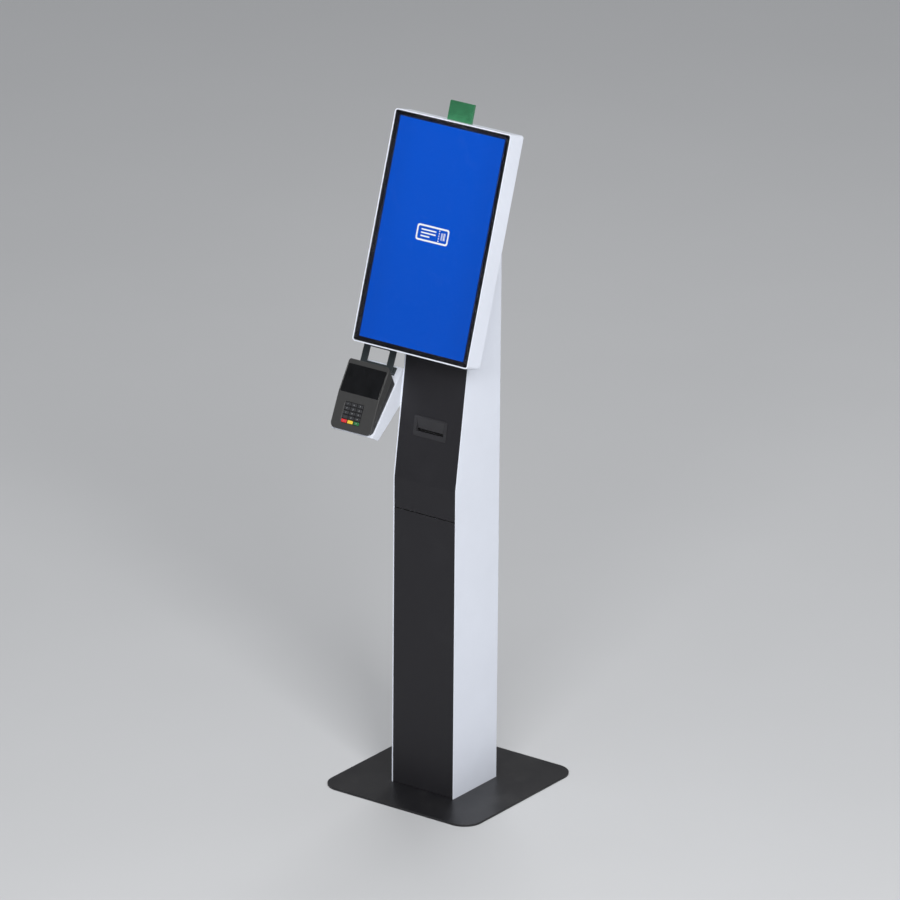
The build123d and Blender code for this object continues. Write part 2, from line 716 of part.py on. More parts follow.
with BuildPart() as fan_rotor:
    with BuildSketch(Plane.XZ.offset(-INNER_BACK_Y + 4)):
        with Locations((0, FAN_Z)):
            Circle(13)
    extrude(amount=FAN_DEPTH - 6)
    for step in range(7):
        blade = Plane(
            origin=(0, INNER_BACK_Y - 5 - (FAN_DEPTH - 8) / 2, FAN_Z),
            x_dir=(cos(radians(360 / 7 * step)), 0, sin(radians(360 / 7 * step))),
            z_dir=(-sin(radians(360 / 7 * step)) * 0.8, 0.6, cos(radians(360 / 7 * step)) * 0.8),
        )
        with BuildSketch(blade.offset(-0.8)):
            with Locations((23, 0)):
                Rectangle(25, 17)
        extrude(amount=1.6)
    with BuildSketch(Plane.XZ.offset(-INNER_BACK_Y)):
        with Locations((0, FAN_Z)):
            Circle(FAN_SIDE / 2 - 2 - FAN_TIP_GAP)
    extrude(amount=FAN_DEPTH, mode=Mode.INTERSECT)
    with BuildSketch(Plane.XZ.offset(-INNER_BACK_Y)):
        with Locations((0, FAN_Z)):
            Circle(AXLE_R + AXLE_FIT)
    extrude(amount=FAN_DEPTH - 5, mode=Mode.SUBTRACT)
fan_rotor.part.label = "fan_rotor"
export_step(fan_rotor.part, "parts/fan_rotor.step")

ROCKER_X = INLET_X - 24
with BuildPart() as power_inlet:
    with BuildSketch(Plane.XZ.offset(-BACK_Y - 2.5)):
        with Locations((INLET_X, INLET_Z)):
            RectangleRounded(INLET_WIDTH, INLET_HEIGHT, 3)
    extrude(amount=2.5)
    with BuildSketch(Plane.XZ.offset(-BACK_Y)):
        with Locations((INLET_X, INLET_Z)):
            Rectangle(INLET_WIDTH - 8, INLET_HEIGHT - 8)
    extrude(amount=34)
    # Socket with its three blades
    with BuildSketch(Plane.XZ.offset(-BACK_Y - 2.5)):
        with Locations((INLET_X + 12, INLET_Z)):
            RectangleRounded(24, 16, 3)
    extrude(amount=17, mode=Mode.SUBTRACT)
    with BuildSketch(Plane.XZ.offset(-BACK_Y + 14.5)):
        with Locations((INLET_X + 5, INLET_Z - 2), (INLET_X + 19, INLET_Z - 2), (INLET_X + 12, INLET_Z + 3)):
            Rectangle(2, 4)
    extrude(amount=-11)
    # Well for the rocker
    with BuildSketch(Plane.XZ.offset(-BACK_Y - 2.5)):
        with Locations((ROCKER_X, INLET_Z)):
            Rectangle(ROCKER_WIDTH + 2 * ROCKER_GAP, ROCKER_HEIGHT + 2 * ROCKER_GAP)
    extrude(amount=16, mode=Mode.SUBTRACT)
    with BuildSketch(Plane.YZ.offset(ROCKER_X - ROCKER_WIDTH / 2 - ROCKER_GAP)):
        with Locations((BACK_Y - 1, INLET_Z)):
            Circle(1.5)
    extrude(amount=ROCKER_WIDTH + 2 * ROCKER_GAP)
power_inlet.part.label = "power_inlet"
export_step(power_inlet.part, "parts/power_inlet.step")

with BuildPart() as power_rocker:
    with BuildSketch(Plane.YZ.offset(ROCKER_X - ROCKER_WIDTH / 2)):
        with BuildLine():
            Polyline(
                (BACK_Y + 5.0, INLET_Z + ROCKER_HEIGHT / 2 - 1.4),
                (BACK_Y + 2.6, INLET_Z),
                (BACK_Y + 2.6, INLET_Z - ROCKER_HEIGHT / 2 + 1),
                (BACK_Y - 4.0, INLET_Z - ROCKER_HEIGHT / 2 + 1.6),
                (BACK_Y - 6.0, INLET_Z),
                (BACK_Y - 4.0, INLET_Z + ROCKER_HEIGHT / 2 - 1.6),
                close=True,
            )
        make_face()
    extrude(amount=ROCKER_WIDTH)
    with BuildSketch(Plane.YZ.offset(ROCKER_X - ROCKER_WIDTH / 2)):
        with Locations((BACK_Y - 1, INLET_Z)):
            Circle(1.5 + 0.06)
    extrude(amount=ROCKER_WIDTH, mode=Mode.SUBTRACT)
power_rocker.part.label = "power_rocker"
export_step(power_rocker.part, "parts/power_rocker.step")

# ---------------------------------------------------------------- display head
VENT_SPOTS = [(x, s) for x in (-110, 110) for s in (HEAD_LENGTH * 0.2, HEAD_LENGTH * 0.8)]
HEAD_MOUNT_S = (MOUNT_MID - HEAD_EDGE_Z + HEAD_DEPTH * sin(HEAD_TILT)) / cos(HEAD_TILT)
with BuildPart() as head_housing:
    with BuildSketch(HEAD):
        with Locations((0, HEAD_LENGTH / 2)):
            RectangleRounded(HEAD_WIDTH, HEAD_LENGTH, HEAD_CORNER)
    extrude(amount=-HEAD_DEPTH)
    with BuildSketch(HEAD):
        with Locations((0, HEAD_LENGTH / 2)):
            RectangleRounded(HEAD_WIDTH - 2 * RIM, HEAD_LENGTH - 2 * RIM, HEAD_CORNER - RIM)
    extrude(amount=-HEAD_DEPTH + RIM, mode=Mode.SUBTRACT)
    with BuildSketch(HEAD.offset(-HEAD_DEPTH)):
        for x, s in VENT_SPOTS:
            with Locations((x, s)):
                with GridLocations(0, 9, 1, 7):
                    SlotOverall(70, 4.6)
        with Locations((0, HEAD_MOUNT_S)):
            Circle(CABLE_R)
            with GridLocations(2 * VESA, 2 * VESA, 2, 2):
                Circle(2)
    extrude(amount=RIM, mode=Mode.SUBTRACT)
    # Slot in the top wall for the beacon
    with BuildSketch(HEAD.offset(-BEACON_W - BEACON_THICK / 2 - 0.5)):
        with Locations((0, HEAD_LENGTH)):
            Rectangle(BEACON_WIDTH + 1, 4 * RIM)
    extrude(amount=BEACON_THICK + 1, mode=Mode.SUBTRACT)
head_housing.part.label = "head_housing"
export_step(head_housing.part, "parts/head_housing.step")

GLASS_BACK = GLASS_DROP + GLASS_THICK
with BuildPart() as display_glass:
    with BuildSketch(HEAD.offset(-GLASS_BACK)):
        with Locations((0, HEAD_LENGTH / 2)):
            RectangleRounded(
                HEAD_WIDTH - 2 * RIM - 2 * GLASS_GAP,
                HEAD_LENGTH - 2 * RIM - 2 * GLASS_GAP,
                HEAD_CORNER - RIM - GLASS_GAP,
            )
    extrude(amount=GLASS_THICK)
    chamfer(display_glass.faces().sort_by(Axis(HEAD.origin, HEAD.z_dir))[-1].edges(), 0.5)
display_glass.part.label = "display_glass"
export_step(display_glass.part, "parts/display_glass.step")

with BuildPart() as display_mask:
    with BuildSketch(HEAD.offset(-GLASS_BACK - MASK_THICK)):
        with Locations((0, HEAD_LENGTH / 2)):
            RectangleRounded(
                HEAD_WIDTH - 2 * RIM - 2 * GLASS_GAP,
                HEAD_LENGTH - 2 * RIM - 2 * GLASS_GAP,
                HEAD_CORNER - RIM - GLASS_GAP,
            )
            Rectangle(ACTIVE_WIDTH, ACTIVE_LENGTH, mode=Mode.SUBTRACT)
    extrude(amount=MASK_THICK)
display_mask.part.label = "display_mask"
export_step(display_mask.part, "parts/display_mask.step")

LCD_FRONT = GLASS_BACK + MASK_THICK
with BuildPart() as display_panel:
    with BuildSketch(HEAD.offset(-LCD_FRONT - LCD_DEPTH)):
        with Locations((0, HEAD_LENGTH / 2)):
            Rectangle(ACTIVE_WIDTH + 2 * PANEL_BORDER, ACTIVE_LENGTH + 2 * PANEL_BORDER)
    extrude(amount=LCD_DEPTH)
display_panel.part.label = "display_panel"
export_step(display_panel.part, "parts/display_panel.step")

with BuildPart() as display_frame:
    with BuildSketch(HEAD.offset(-LCD_FRONT)):
        with Locations((0, HEAD_LENGTH / 2)):
            RectangleRounded(HEAD_WIDTH - 2 * RIM, HEAD_LENGTH - 2 * RIM, HEAD_CORNER - RIM)
            Rectangle(
                ACTIVE_WIDTH + 2 * PANEL_BORDER, ACTIVE_LENGTH + 2 * PANEL_BORDER, mode=Mode.SUBTRACT
            )
    extrude(amount=-LCD_DEPTH + 4)
display_frame.part.label = "display_frame"
export_step(display_frame.part, "parts/display_frame.step")

with BuildPart() as display_rails:
    with BuildSketch(HEAD.offset(-HEAD_DEPTH + RIM)):
        for side in (-1, 1):
            with Locations((side * 66, HEAD_LENGTH / 2)):
                Rectangle(16, HEAD_LENGTH * 0.8)
    extrude(amount=HEAD_DEPTH - RIM - LCD_FRONT - LCD_DEPTH)
display_rails.part.label = "display_rails"
export_step(display_rails.part, "parts/display_rails.step")


def head_back_y(height, depth=0.0):
    """Y, at this height, of the plane that lies this far behind the display head's back."""
    return HEAD_EDGE_Y + (HEAD_DEPTH + depth + (height - HEAD_EDGE_Z) * sin(HEAD_TILT)) / cos(HEAD_TILT)


with BuildPart() as head_mount:
    with BuildSketch(Plane.YZ):
        with BuildLine():
            Polyline(
                (head_back_y(MOUNT_LOW), MOUNT_LOW),
                (head_back_y(MOUNT_HIGH), MOUNT_HIGH),
                (lean_y(MOUNT_HIGH, PANEL_RECESS), MOUNT_HIGH),
                (lean_y(MOUNT_LOW, PANEL_RECESS), MOUNT_LOW),
                close=True,
            )
        make_face()
    extrude(amount=MOUNT_WIDTH / 2, both=True)
    with BuildSketch(Plane.YZ):
        with BuildLine():
            Polyline(
                (head_back_y(MOUNT_LOW - 1, MOUNT_PLATE), MOUNT_LOW - 1),
                (head_back_y(MOUNT_HIGH + 1, MOUNT_PLATE), MOUNT_HIGH + 1),
                (lean_y(MOUNT_HIGH + 1, PANEL_RECESS - MOUNT_PLATE), MOUNT_HIGH + 1),
                (lean_y(MOUNT_LOW - 1, PANEL_RECESS - MOUNT_PLATE), MOUNT_LOW - 1),
                close=True,
            )
        make_face()
    extrude(amount=MOUNT_WIDTH / 2 - MOUNT_PLATE, both=True, mode=Mode.SUBTRACT)
    with BuildSketch(PANEL):
        with Locations((0, MOUNT_S)):
            Circle(CABLE_R)
            with GridLocations(MOUNT_WIDTH - 36, 90, 2, 2):
                Circle(3)
    extrude(amount=MOUNT_PLATE + 0.5, mode=Mode.SUBTRACT)
    with BuildSketch(HEAD.offset(-HEAD_DEPTH)):
        with Locations((0, HEAD_MOUNT_S)):
            Circle(CABLE_R)
            with GridLocations(2 * VESA, 2 * VESA, 2, 2):
                Circle(2)
    extrude(amount=-MOUNT_PLATE - 0.5, mode=Mode.SUBTRACT)
head_mount.part.label = "head_mount"
export_step(head_mount.part, "parts/head_mount.step")

with BuildPart() as mount_bolts:
    # Through the leaning panel from inside the column
    with BuildSketch(PANEL.offset(-PANEL_SHEET)):
        with Locations((0, MOUNT_S)):
            with GridLocations(MOUNT_WIDTH - 36, 90, 2, 2):
                Circle(3)
    extrude(amount=PANEL_SHEET + MOUNT_PLATE)
    with BuildSketch(PANEL.offset(-PANEL_SHEET - 5)):
        with Locations((0, MOUNT_S)):
            with GridLocations(MOUNT_WIDTH - 36, 90, 2, 2):
                RegularPolygon(5.8, 6)
    extrude(amount=5)
    # Into the display head from inside the mount
    with BuildSketch(HEAD.offset(-HEAD_DEPTH - MOUNT_PLATE)):
        with Locations((0, HEAD_MOUNT_S)):
            with GridLocations(2 * VESA, 2 * VESA, 2, 2):
                Circle(2)
    extrude(amount=MOUNT_PLATE + RIM)
    with BuildSketch(HEAD.offset(-HEAD_DEPTH - MOUNT_PLATE - 2.4)):
        with Locations((0, HEAD_MOUNT_S)):
            with GridLocations(2 * VESA, 2 * VESA, 2, 2):
                Circle(4)
    extrude(amount=2.4)
mount_bolts.part.label = "mount_bolts"
export_step(mount_bolts.part, "parts/mount_bolts.step")

# ---------------------------------------------------------------- status beacon
with BuildPart() as beacon_plate:
    with BuildSketch(HEAD.offset(-BEACON_W - BEACON_THICK / 2)):
        with Locations((0, HEAD_LENGTH + (BEACON_RISE - BEACON_GRIP) / 2)):
            RectangleRounded(BEACON_WIDTH, BEACON_RISE + BEACON_GRIP, 2.5)
    extrude(amount=BEACON_THICK)
beacon_plate.part.label = "beacon_plate"
export_step(beacon_plate.part, "parts/beacon_plate.step")

with BuildPart() as beacon_socket:
    with BuildSketch(HEAD.offset(-BEACON_W - BEACON_THICK / 2 - 6)):
        with Locations((0, HEAD_LENGTH - RIM - 14.5)):
            Rectangle(BEACON_WIDTH + 12, 29)
    extrude(amount=BEACON_THICK + 7.5)
    with BuildSketch(HEAD.offset(-BEACON_W - BEACON_THICK / 2)):
        with Locations((0, HEAD_LENGTH + (BEACON_RISE - BEACON_GRIP) / 2)):
            RectangleRounded(BEACON_WIDTH, BEACON_RISE + BEACON_GRIP, 2.5)
    extrude(amount=BEACON_THICK, mode=Mode.SUBTRACT)
    with BuildSketch(HEAD.offset(-BEACON_W - 3)):
        with Locations((0, HEAD_LENGTH - BEACON_GRIP - 1)):
            Rectangle(BEACON_WIDTH - 8, 4)
    extrude(amount=6, mode=Mode.SUBTRACT)
beacon_socket.part.label = "beacon_socket"
export_step(beacon_socket.part, "parts/beacon_socket.step")

with BuildPart() as beacon_led_strip:
    with BuildSketch(HEAD.offset(-BEACON_W - 3)):
        with Locations((0, HEAD_LENGTH - BEACON_GRIP - 2)):
            Rectangle(BEACON_WIDTH - 8, 2)
    extrude(amount=6)
beacon_led_strip.part.label = "beacon_led_strip"
export_step(beacon_led_strip.part, "parts/beacon_led_strip.step")

# ---------------------------------------------------------------- payment terminal
# Side outline in distances up the bracket plate and off it, lower front end first
FACE_LOW_A = 0.7
FACE_LOW_H = 8.7
FACE_BEND_A = 91.5
FACE_BEND_H = 36.5
FACE_TOP_A = 185.6
FACE_TOP_H = 51.2
SIDE_OUTLINE = [
    (4.0, 0.0),
    (164.0, 0.0),
    (FACE_TOP_A, FACE_TOP_H),
    (FACE_BEND_A, FACE_BEND_H),
    (FACE_LOW_A, FACE_LOW_H),
]
SPLIT_LOW = 5.6
SPLIT_HIGH = 21.0
LOW_SLOPE = atan2(FACE_BEND_H - FACE_LOW_H, FACE_BEND_A - FACE_LOW_A)
HIGH_SLOPE = atan2(FACE_TOP_H - FACE_BEND_H, FACE_TOP_A - FACE_BEND_A)
# Keypad half of the face: X across, f up the face, v out of it
KEY_FACE = Plane(
    origin=PLATE.from_local_coords((0, FACE_LOW_A, FACE_LOW_H)),
    x_dir=(1, 0, 0),
    z_dir=(0, -cos(PLATE_TILT - LOW_SLOPE), sin(PLATE_TILT - LOW_SLOPE)),
)
# Screen half of the face
SCREEN_FACE = Plane(
    origin=PLATE.from_local_coords((0, FACE_BEND_A, FACE_BEND_H)),
    x_dir=(1, 0, 0),
    z_dir=(0, -cos(PLATE_TILT - HIGH_SLOPE), sin(PLATE_TILT - HIGH_SLOPE)),
)
SCREEN_LENGTH = (FACE_TOP_A - FACE_BEND_A) / cos(HIGH_SLOPE) - 4 - SCREEN_TOP_BORDER
SCREEN_WIDTH = TERMINAL_WIDTH - 7
KEY_SPOTS = [
    (KEYPAD_X + (column - (KEY_COLUMNS - 1) / 2) * KEY_PITCH_X, KEYPAD_F + (1.5 - row) * KEY_PITCH_F)
    for row in range(KEY_ROWS)
    for column in range(KEY_COLUMNS)
]
KEY_NAMES = [
    "key_one", "key_two", "key_three",
    "key_four", "key_five", "key_six",
    "key_seven", "key_eight", "key_nine",
    "key_star", "key_zero", "key_hash",
    "key_cancel", "key_clear", "key_enter",
]

with BuildPart() as terminal_block:
    with BuildSketch(PLATE_SIDE.offset(-TERMINAL_WIDTH / 2)):
        with BuildLine():
            Polyline(*SIDE_OUTLINE, close=True)
        make_face()
    extrude(amount=TERMINAL_WIDTH)
    corners = terminal_block.edges().filter_by(
        lambda edge: abs(edge.tangent_at(0.5).X) < 0.1 and edge.length < 60
    )
    low_ends = [edge for edge in corners if edge.length < 12]
    high_ends = [edge for edge in corners if edge.length > 40]
    fillet(low_ends, 14)
    fillet(high_ends, 6)

with BuildPart() as terminal_void:
    with BuildSketch(PLATE_SIDE.offset(-TERMINAL_WIDTH / 2 + TERMINAL_WALL)):
        with BuildLine():
            Polyline(*SIDE_OUTLINE, close=True)
        make_face()
        offset(amount=-TERMINAL_WALL, kind=Kind.INTERSECTION, mode=Mode.REPLACE)
    extrude(amount=TERMINAL_WIDTH - 2 * TERMINAL_WALL)
    # The lower corners follow the rounded outside
    with BuildSketch(PLATE):
        with Locations((0, 4 + TERMINAL_WALL + 100)):
            RectangleRounded(TERMINAL_WIDTH - 2 * TERMINAL_WALL, 200, 11)
    extrude(amount=90, mode=Mode.INTERSECT)

SPLIT_OUTLINE = [(-20, SPLIT_LOW - 2), (0, SPLIT_LOW), (170, SPLIT_HIGH), (200, SPLIT_HIGH + 3)]
with BuildPart() as terminal_lower_shell:
    add(terminal_block.part)
    add(terminal_void.part, mode=Mode.SUBTRACT)
    with BuildSketch(PLATE_SIDE.offset(-TERMINAL_WIDTH / 2 - 1)):
        with BuildLine():
            Polyline(*SPLIT_OUTLINE, (200, 90), (-20, 90), close=True)
        make_face()
    extrude(amount=TERMINAL_WIDTH + 2, mode=Mode.SUBTRACT)
    # Chip card slot in the lower front end
    with BuildSketch(PLATE_SIDE.offset(-28)):
        with Locations((4, 4.2)):
            Rectangle(20, 1.5)
    extrude(amount=56, mode=Mode.SUBTRACT)
terminal_lower_shell.part.label = "terminal_lower_shell"
export_step(terminal_lower_shell.part, "parts/terminal_lower_shell.step")

with BuildPart() as terminal_upper_shell:
    add(terminal_block.part)
    add(terminal_void.part, mode=Mode.SUBTRACT)
    with BuildSketch(PLATE_SIDE.offset(-TERMINAL_WIDTH / 2 - 1)):
        with BuildLine():
            Polyline(*SPLIT_OUTLINE, (200, -20), (-20, -20), close=True)
        make_face()
    extrude(amount=TERMINAL_WIDTH + 2, mode=Mode.SUBTRACT)
    # Shallow keypad pocket, a hole for each key and the screen's pocket
    with BuildSketch(KEY_FACE):
        with Locations((KEYPAD_X, KEYPAD_F - 0.5 * KEY_PITCH_F)):
            RectangleRounded(KEY_COLUMNS * KEY_PITCH_X + 1, KEY_ROWS * KEY_PITCH_F + 1, 3)
    extrude(amount=-KEYPAD_POCKET, mode=Mode.SUBTRACT)
    with BuildSketch(KEY_FACE):
        with Locations(*KEY_SPOTS):
            RectangleRounded(KEY_WIDTH + 2 * KEY_GAP, KEY_HEIGHT + 2 * KEY_GAP, 1.6)
    extrude(amount=-TERMINAL_WALL - 0.5, mode=Mode.SUBTRACT)
    with BuildSketch(SCREEN_FACE):
        with Locations((0, SCREEN_LENGTH / 2 + 4)):
            RectangleRounded(SCREEN_WIDTH, SCREEN_LENGTH, 4)
    extrude(amount=-SCREEN_THICK, mode=Mode.SUBTRACT)
terminal_upper_shell.part.label = "terminal_upper_shell"
export_step(terminal_upper_shell.part, "parts/terminal_upper_shell.step")

with BuildPart() as terminal_screen:
    with BuildSketch(SCREEN_FACE.offset(-SCREEN_THICK)):
        with Locations((0, SCREEN_LENGTH / 2 + 4)):
            RectangleRounded(SCREEN_WIDTH, SCREEN_LENGTH, 4)
    extrude(amount=SCREEN_THICK + 0.4)
terminal_screen.part.label = "terminal_screen"
export_step(terminal_screen.part, "parts/terminal_screen.step")

KEY_DEPTH = TERMINAL_WALL + 1.8
BOARD_DROP = KEY_DEPTH + KEY_TRAVEL + KEY_GAP
BOARD_WIDTH = KEY_COLUMNS * KEY_PITCH_X + 8
BOARD_LENGTH = KEY_ROWS * KEY_PITCH_F + 2
with BuildPart() as keypad_board:
    with BuildSketch(KEY_FACE.offset(-BOARD_DROP)):
        with Locations((KEYPAD_X, KEYPAD_F - 0.5 * KEY_PITCH_F)):
            Rectangle(BOARD_WIDTH, BOARD_LENGTH)
    extrude(amount=-1.6)
    with BuildSketch(KEY_FACE.offset(-BOARD_DROP)):
        for side in (-1, 1):
            with Locations((KEYPAD_X + side * (BOARD_WIDTH / 2 - 1.2), KEYPAD_F - 0.5 * KEY_PITCH_F)):
                Rectangle(2.4, BOARD_LENGTH)
    extrude(amount=BOARD_DROP - TERMINAL_WALL)
keypad_board.part.label = "keypad_board"
export_step(keypad_board.part, "parts/keypad_board.step")

for name, spot in zip(KEY_NAMES, KEY_SPOTS):
    with BuildPart() as key:
        with BuildSketch(KEY_FACE.offset(-KEY_DEPTH)):
            with Locations(spot):
                RectangleRounded(KEY_WIDTH, KEY_HEIGHT, 1.4)
        extrude(amount=KEY_DEPTH + 0.5)
        chamfer(key.faces().sort_by(Axis(KEY_FACE.origin, KEY_FACE.z_dir))[-1].edges(), 0.4)
        # Flange that keeps the key from coming out
        with BuildSketch(KEY_FACE.offset(-KEY_DEPTH)):
            with Locations(spot):
                Rectangle(KEY_WIDTH + 2.2, KEY_HEIGHT + 1.8)
        extrude(amount=1.4)
    key.part.label = name
    export_step(key.part, f"parts/{name}.step")

# ---------------------------------------------------------------- terminal bracket and hoop
PLATE_LEFT = -TERMINAL_WIDTH / 2 + 1
PLATE_RIGHT = -COLUMN_WIDTH / 2 - TERMINAL_X
TERMINAL_SCREWS = [(-45, 30), (45, 30), (-45, 140), (45, 140)]
HOOP_SCREWS = [(-40, HOOP_A + 12), (40, HOOP_A + 12)]
with BuildPart() as terminal_bracket:
    with BuildSketch(PLATE):
        with Locations(((PLATE_LEFT + PLATE_RIGHT) / 2, PLATE_LENGTH / 2)):
            Rectangle(PLATE_RIGHT - PLATE_LEFT, PLATE_LENGTH)
    extrude(amount=-BRACKET_SHEET)
    # Cheek folded back along the column's side
    with BuildSketch(PLATE_SIDE.offset(PLATE_RIGHT)):
        with BuildLine():
            Polyline(
                (0, 0),
                (5, -27.7),
                (127, -55.6),
                (PLATE_LENGTH - 10, -76),
                (PLATE_LENGTH, -62),
                (PLATE_LENGTH, 0),
                close=True,
            )
        make_face()
    extrude(amount=-BRACKET_SHEET)
    # Stiffening flange along the free side
    with BuildSketch(PLATE_SIDE.offset(PLATE_LEFT)):
        with BuildLine():
            Polyline((14, 0), (22, -12), (PLATE_LENGTH - 8, -12), (PLATE_LENGTH, 0), close=True)
        make_face()
    extrude(amount=BRACKET_SHEET)
    with BuildSketch(PLATE):
        with Locations(*TERMINAL_SCREWS, *HOOP_SCREWS):
            Circle(2)
    extrude(amount=-BRACKET_SHEET, mode=Mode.SUBTRACT)
    with BuildSketch(PLATE):
        with Locations((0, 85)):
            Circle(14)
    extrude(amount=-BRACKET_SHEET, mode=Mode.SUBTRACT)
    with BuildSketch(Plane.YZ.offset(-COLUMN_WIDTH / 2)):
        with Locations(*CHEEK_SCREWS):
            Circle(2.5)
    extrude(amount=-BRACKET_SHEET, mode=Mode.SUBTRACT)
terminal_bracket.part.label = "terminal_bracket"
export_step(terminal_bracket.part, "parts/terminal_bracket.step")

HOOP = Plane(
    origin=PLATE.from_local_coords((0, HOOP_A, HOOP_RISE)),
    x_dir=(1, 0, 0),
    z_dir=(0, -cos(HOOP_TILT), sin(HOOP_TILT)),
)
# Front face of the riser, where the hoop bends away from the plate
HOOP_FRONT = HOOP_A - HOOP_THICK * sin(PLATE_TILT - HOOP_TILT)
with BuildPart() as terminal_hoop:
    with BuildSketch(HOOP):
        with Locations((0, HOOP_LENGTH / 2)):
            Rectangle(HOOP_WIDTH, HOOP_LENGTH)
        with Locations((0, (HOOP_LENGTH - HOOP_BAR + HOOP_LOW_BAR) / 2)):
            RectangleRounded(
                HOOP_WIDTH - 2 * HOOP_BAR, HOOP_LENGTH - HOOP_BAR - HOOP_LOW_BAR, 3, mode=Mode.SUBTRACT
            )
    extrude(amount=HOOP_THICK)
    top_corners = terminal_hoop.edges().filter_by(
        lambda edge: abs(edge.length - HOOP_THICK) < 0.1
        and edge.center().Z > HOOP.origin.Z + HOOP_LENGTH * 0.8
    )
    fillet(top_corners, 6)
    # Riser and foot on the bracket plate
    with BuildSketch(PLATE_SIDE.offset(-HOOP_WIDTH / 2)):
        with BuildLine():
            Polyline(
                (HOOP_FRONT, 0),
                (HOOP_FRONT + HOOP_THICK, 0),
                (HOOP_FRONT + HOOP_THICK, HOOP_RISE + HOOP_THICK / 2),
                (HOOP_FRONT, HOOP_RISE + HOOP_THICK * cos(PLATE_TILT - HOOP_TILT)),
                close=True,
            )
        make_face()
    extrude(amount=HOOP_WIDTH)
    with BuildSketch(PLATE):
        with Locations((0, HOOP_FRONT + HOOP_FOOT / 2)):
            Rectangle(HOOP_WIDTH, HOOP_FOOT)
    extrude(amount=HOOP_THICK)
    with BuildSketch(PLATE):
        with Locations(*HOOP_SCREWS):
            Circle(2)
    extrude(amount=HOOP_THREAD, mode=Mode.SUBTRACT)
terminal_hoop.part.label = "terminal_hoop"
export_step(terminal_hoop.part, "parts/terminal_hoop.step")

with BuildPart() as bracket_screws:
    # Through the cheek into the column's side
    with BuildSketch(Plane.YZ.offset(-INNER_X)):
        with Locations(*CHEEK_SCREWS):
            Circle(2.5)
    extrude(amount=-COLUMN_SHEET - BRACKET_SHEET)
    with BuildSketch(Plane.YZ.offset(-COLUMN_WIDTH / 2 - BRACKET_SHEET)):
        with Locations(*CHEEK_SCREWS):
            Circle(4.6)
            RegularPolygon(1.8, 6, mode=Mode.SUBTRACT)
    extrude(amount=-2.6)
    # Up through the plate, into the hoop's foot and against the terminal
    with BuildSketch(PLATE.offset(-BRACKET_SHEET)):
        with Locations(*HOOP_SCREWS):
            Circle(2)
    extrude(amount=BRACKET_SHEET + HOOP_THREAD)
    with BuildSketch(PLATE.offset(-BRACKET_SHEET)):
        with Locations(*TERMINAL_SCREWS):
            Circle(2)
    extrude(amount=BRACKET_SHEET)
    with BuildSketch(PLATE.offset(-BRACKET_SHEET - 2.2)):
        with Locations(*TERMINAL_SCREWS, *HOOP_SCREWS):
            Circle(3.6)
    extrude(amount=2.2)
bracket_screws.part.label = "bracket_screws"
export_step(bracket_screws.part, "parts/bracket_screws.step")
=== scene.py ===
"""Looks for a free-standing self-service ticket machine: finishes, screen picture, keys and studio.

Every length is in metres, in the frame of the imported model: +Z up, the display faces -Y.
"""

import math

import bmesh
import bpy
from bpy.props import FloatProperty, FloatVectorProperty, PointerProperty
from mathutils import Matrix, Vector


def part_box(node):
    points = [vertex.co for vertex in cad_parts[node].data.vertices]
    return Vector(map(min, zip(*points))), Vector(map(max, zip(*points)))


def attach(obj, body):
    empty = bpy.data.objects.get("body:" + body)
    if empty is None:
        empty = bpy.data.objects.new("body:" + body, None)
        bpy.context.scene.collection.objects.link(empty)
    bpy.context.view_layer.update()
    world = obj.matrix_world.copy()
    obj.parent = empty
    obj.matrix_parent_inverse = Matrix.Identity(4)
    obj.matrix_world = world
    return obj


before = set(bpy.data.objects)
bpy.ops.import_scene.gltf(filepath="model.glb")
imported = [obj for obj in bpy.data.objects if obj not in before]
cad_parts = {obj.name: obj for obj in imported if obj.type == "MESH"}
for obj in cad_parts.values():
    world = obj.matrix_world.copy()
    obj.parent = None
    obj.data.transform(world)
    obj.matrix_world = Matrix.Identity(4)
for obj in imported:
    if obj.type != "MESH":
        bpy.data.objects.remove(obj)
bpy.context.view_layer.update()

bl_info = {
    "name": "Ticket machine looks",
    "version": (1, 0, 0),
    "blender": (4, 5, 0),
    "location": "View3D > Sidebar > Ticket Machine",
    "description": "Finishes and fine details of a self-service ticket machine",
    "category": "Object",
}

# Places of the display head, the terminal's plate and the keypad, matching the CAD model.
# X runs across the machine, F up the slope of the plane that a piece lies on.
HEAD_TILT = math.radians(17.54)
HEAD_EDGE = Vector((0, -0.1919, 1.2800))
HEAD_LENGTH = 0.628
DISPLAY_BACK = -0.0045
PLATE_TILT = math.radians(40.7)
PLATE_FOOT = Vector((-0.1745, -0.2127, 1.0267))
KEY_FACE_FOOT = Vector((0, 0.0007, 0.0087))
KEY_FACE_SLOPE = math.atan2(0.0278, 0.0908)
KEY_COLUMNS = 3
KEY_ROWS = 5
KEY_PITCH_X = 0.0204
KEY_PITCH_F = 0.0116
KEYPAD_X = -0.0065
KEYPAD_F = 0.0525
LEGEND_LIFT = 0.00052
LEGEND_DEPTH = 0.00008

# Near-black sheet in the keypad's pocket that paints the shade between the keys; its top lies 0.75
# mm below the terminal's face
LATTICE_WIDTH = 0.0602
LATTICE_LENGTH = 0.0570
LATTICE_HOLE = (0.0177, 0.0093)
LATTICE_LOW = -0.00118
LATTICE_HIGH = -0.00075

# Where the display's light falls off, how dense its dots are, and where the symbol stands on it
LIT_SIDES = (0.08, 0.172)
LIT_HEIGHTS = (1.29, 1.86)
LIT_FACING = (-0.7, -0.5)
DOT_SCALE = 3800.0
SYMBOL_LIFT = 0.0001
SYMBOL_PLACE = 0.515

# Between which heights the beacon's glow fades, and how densely the paper is wound
BEACON_HEIGHTS = (1.86, 1.925)
WINDING_SCALE = 9000.0

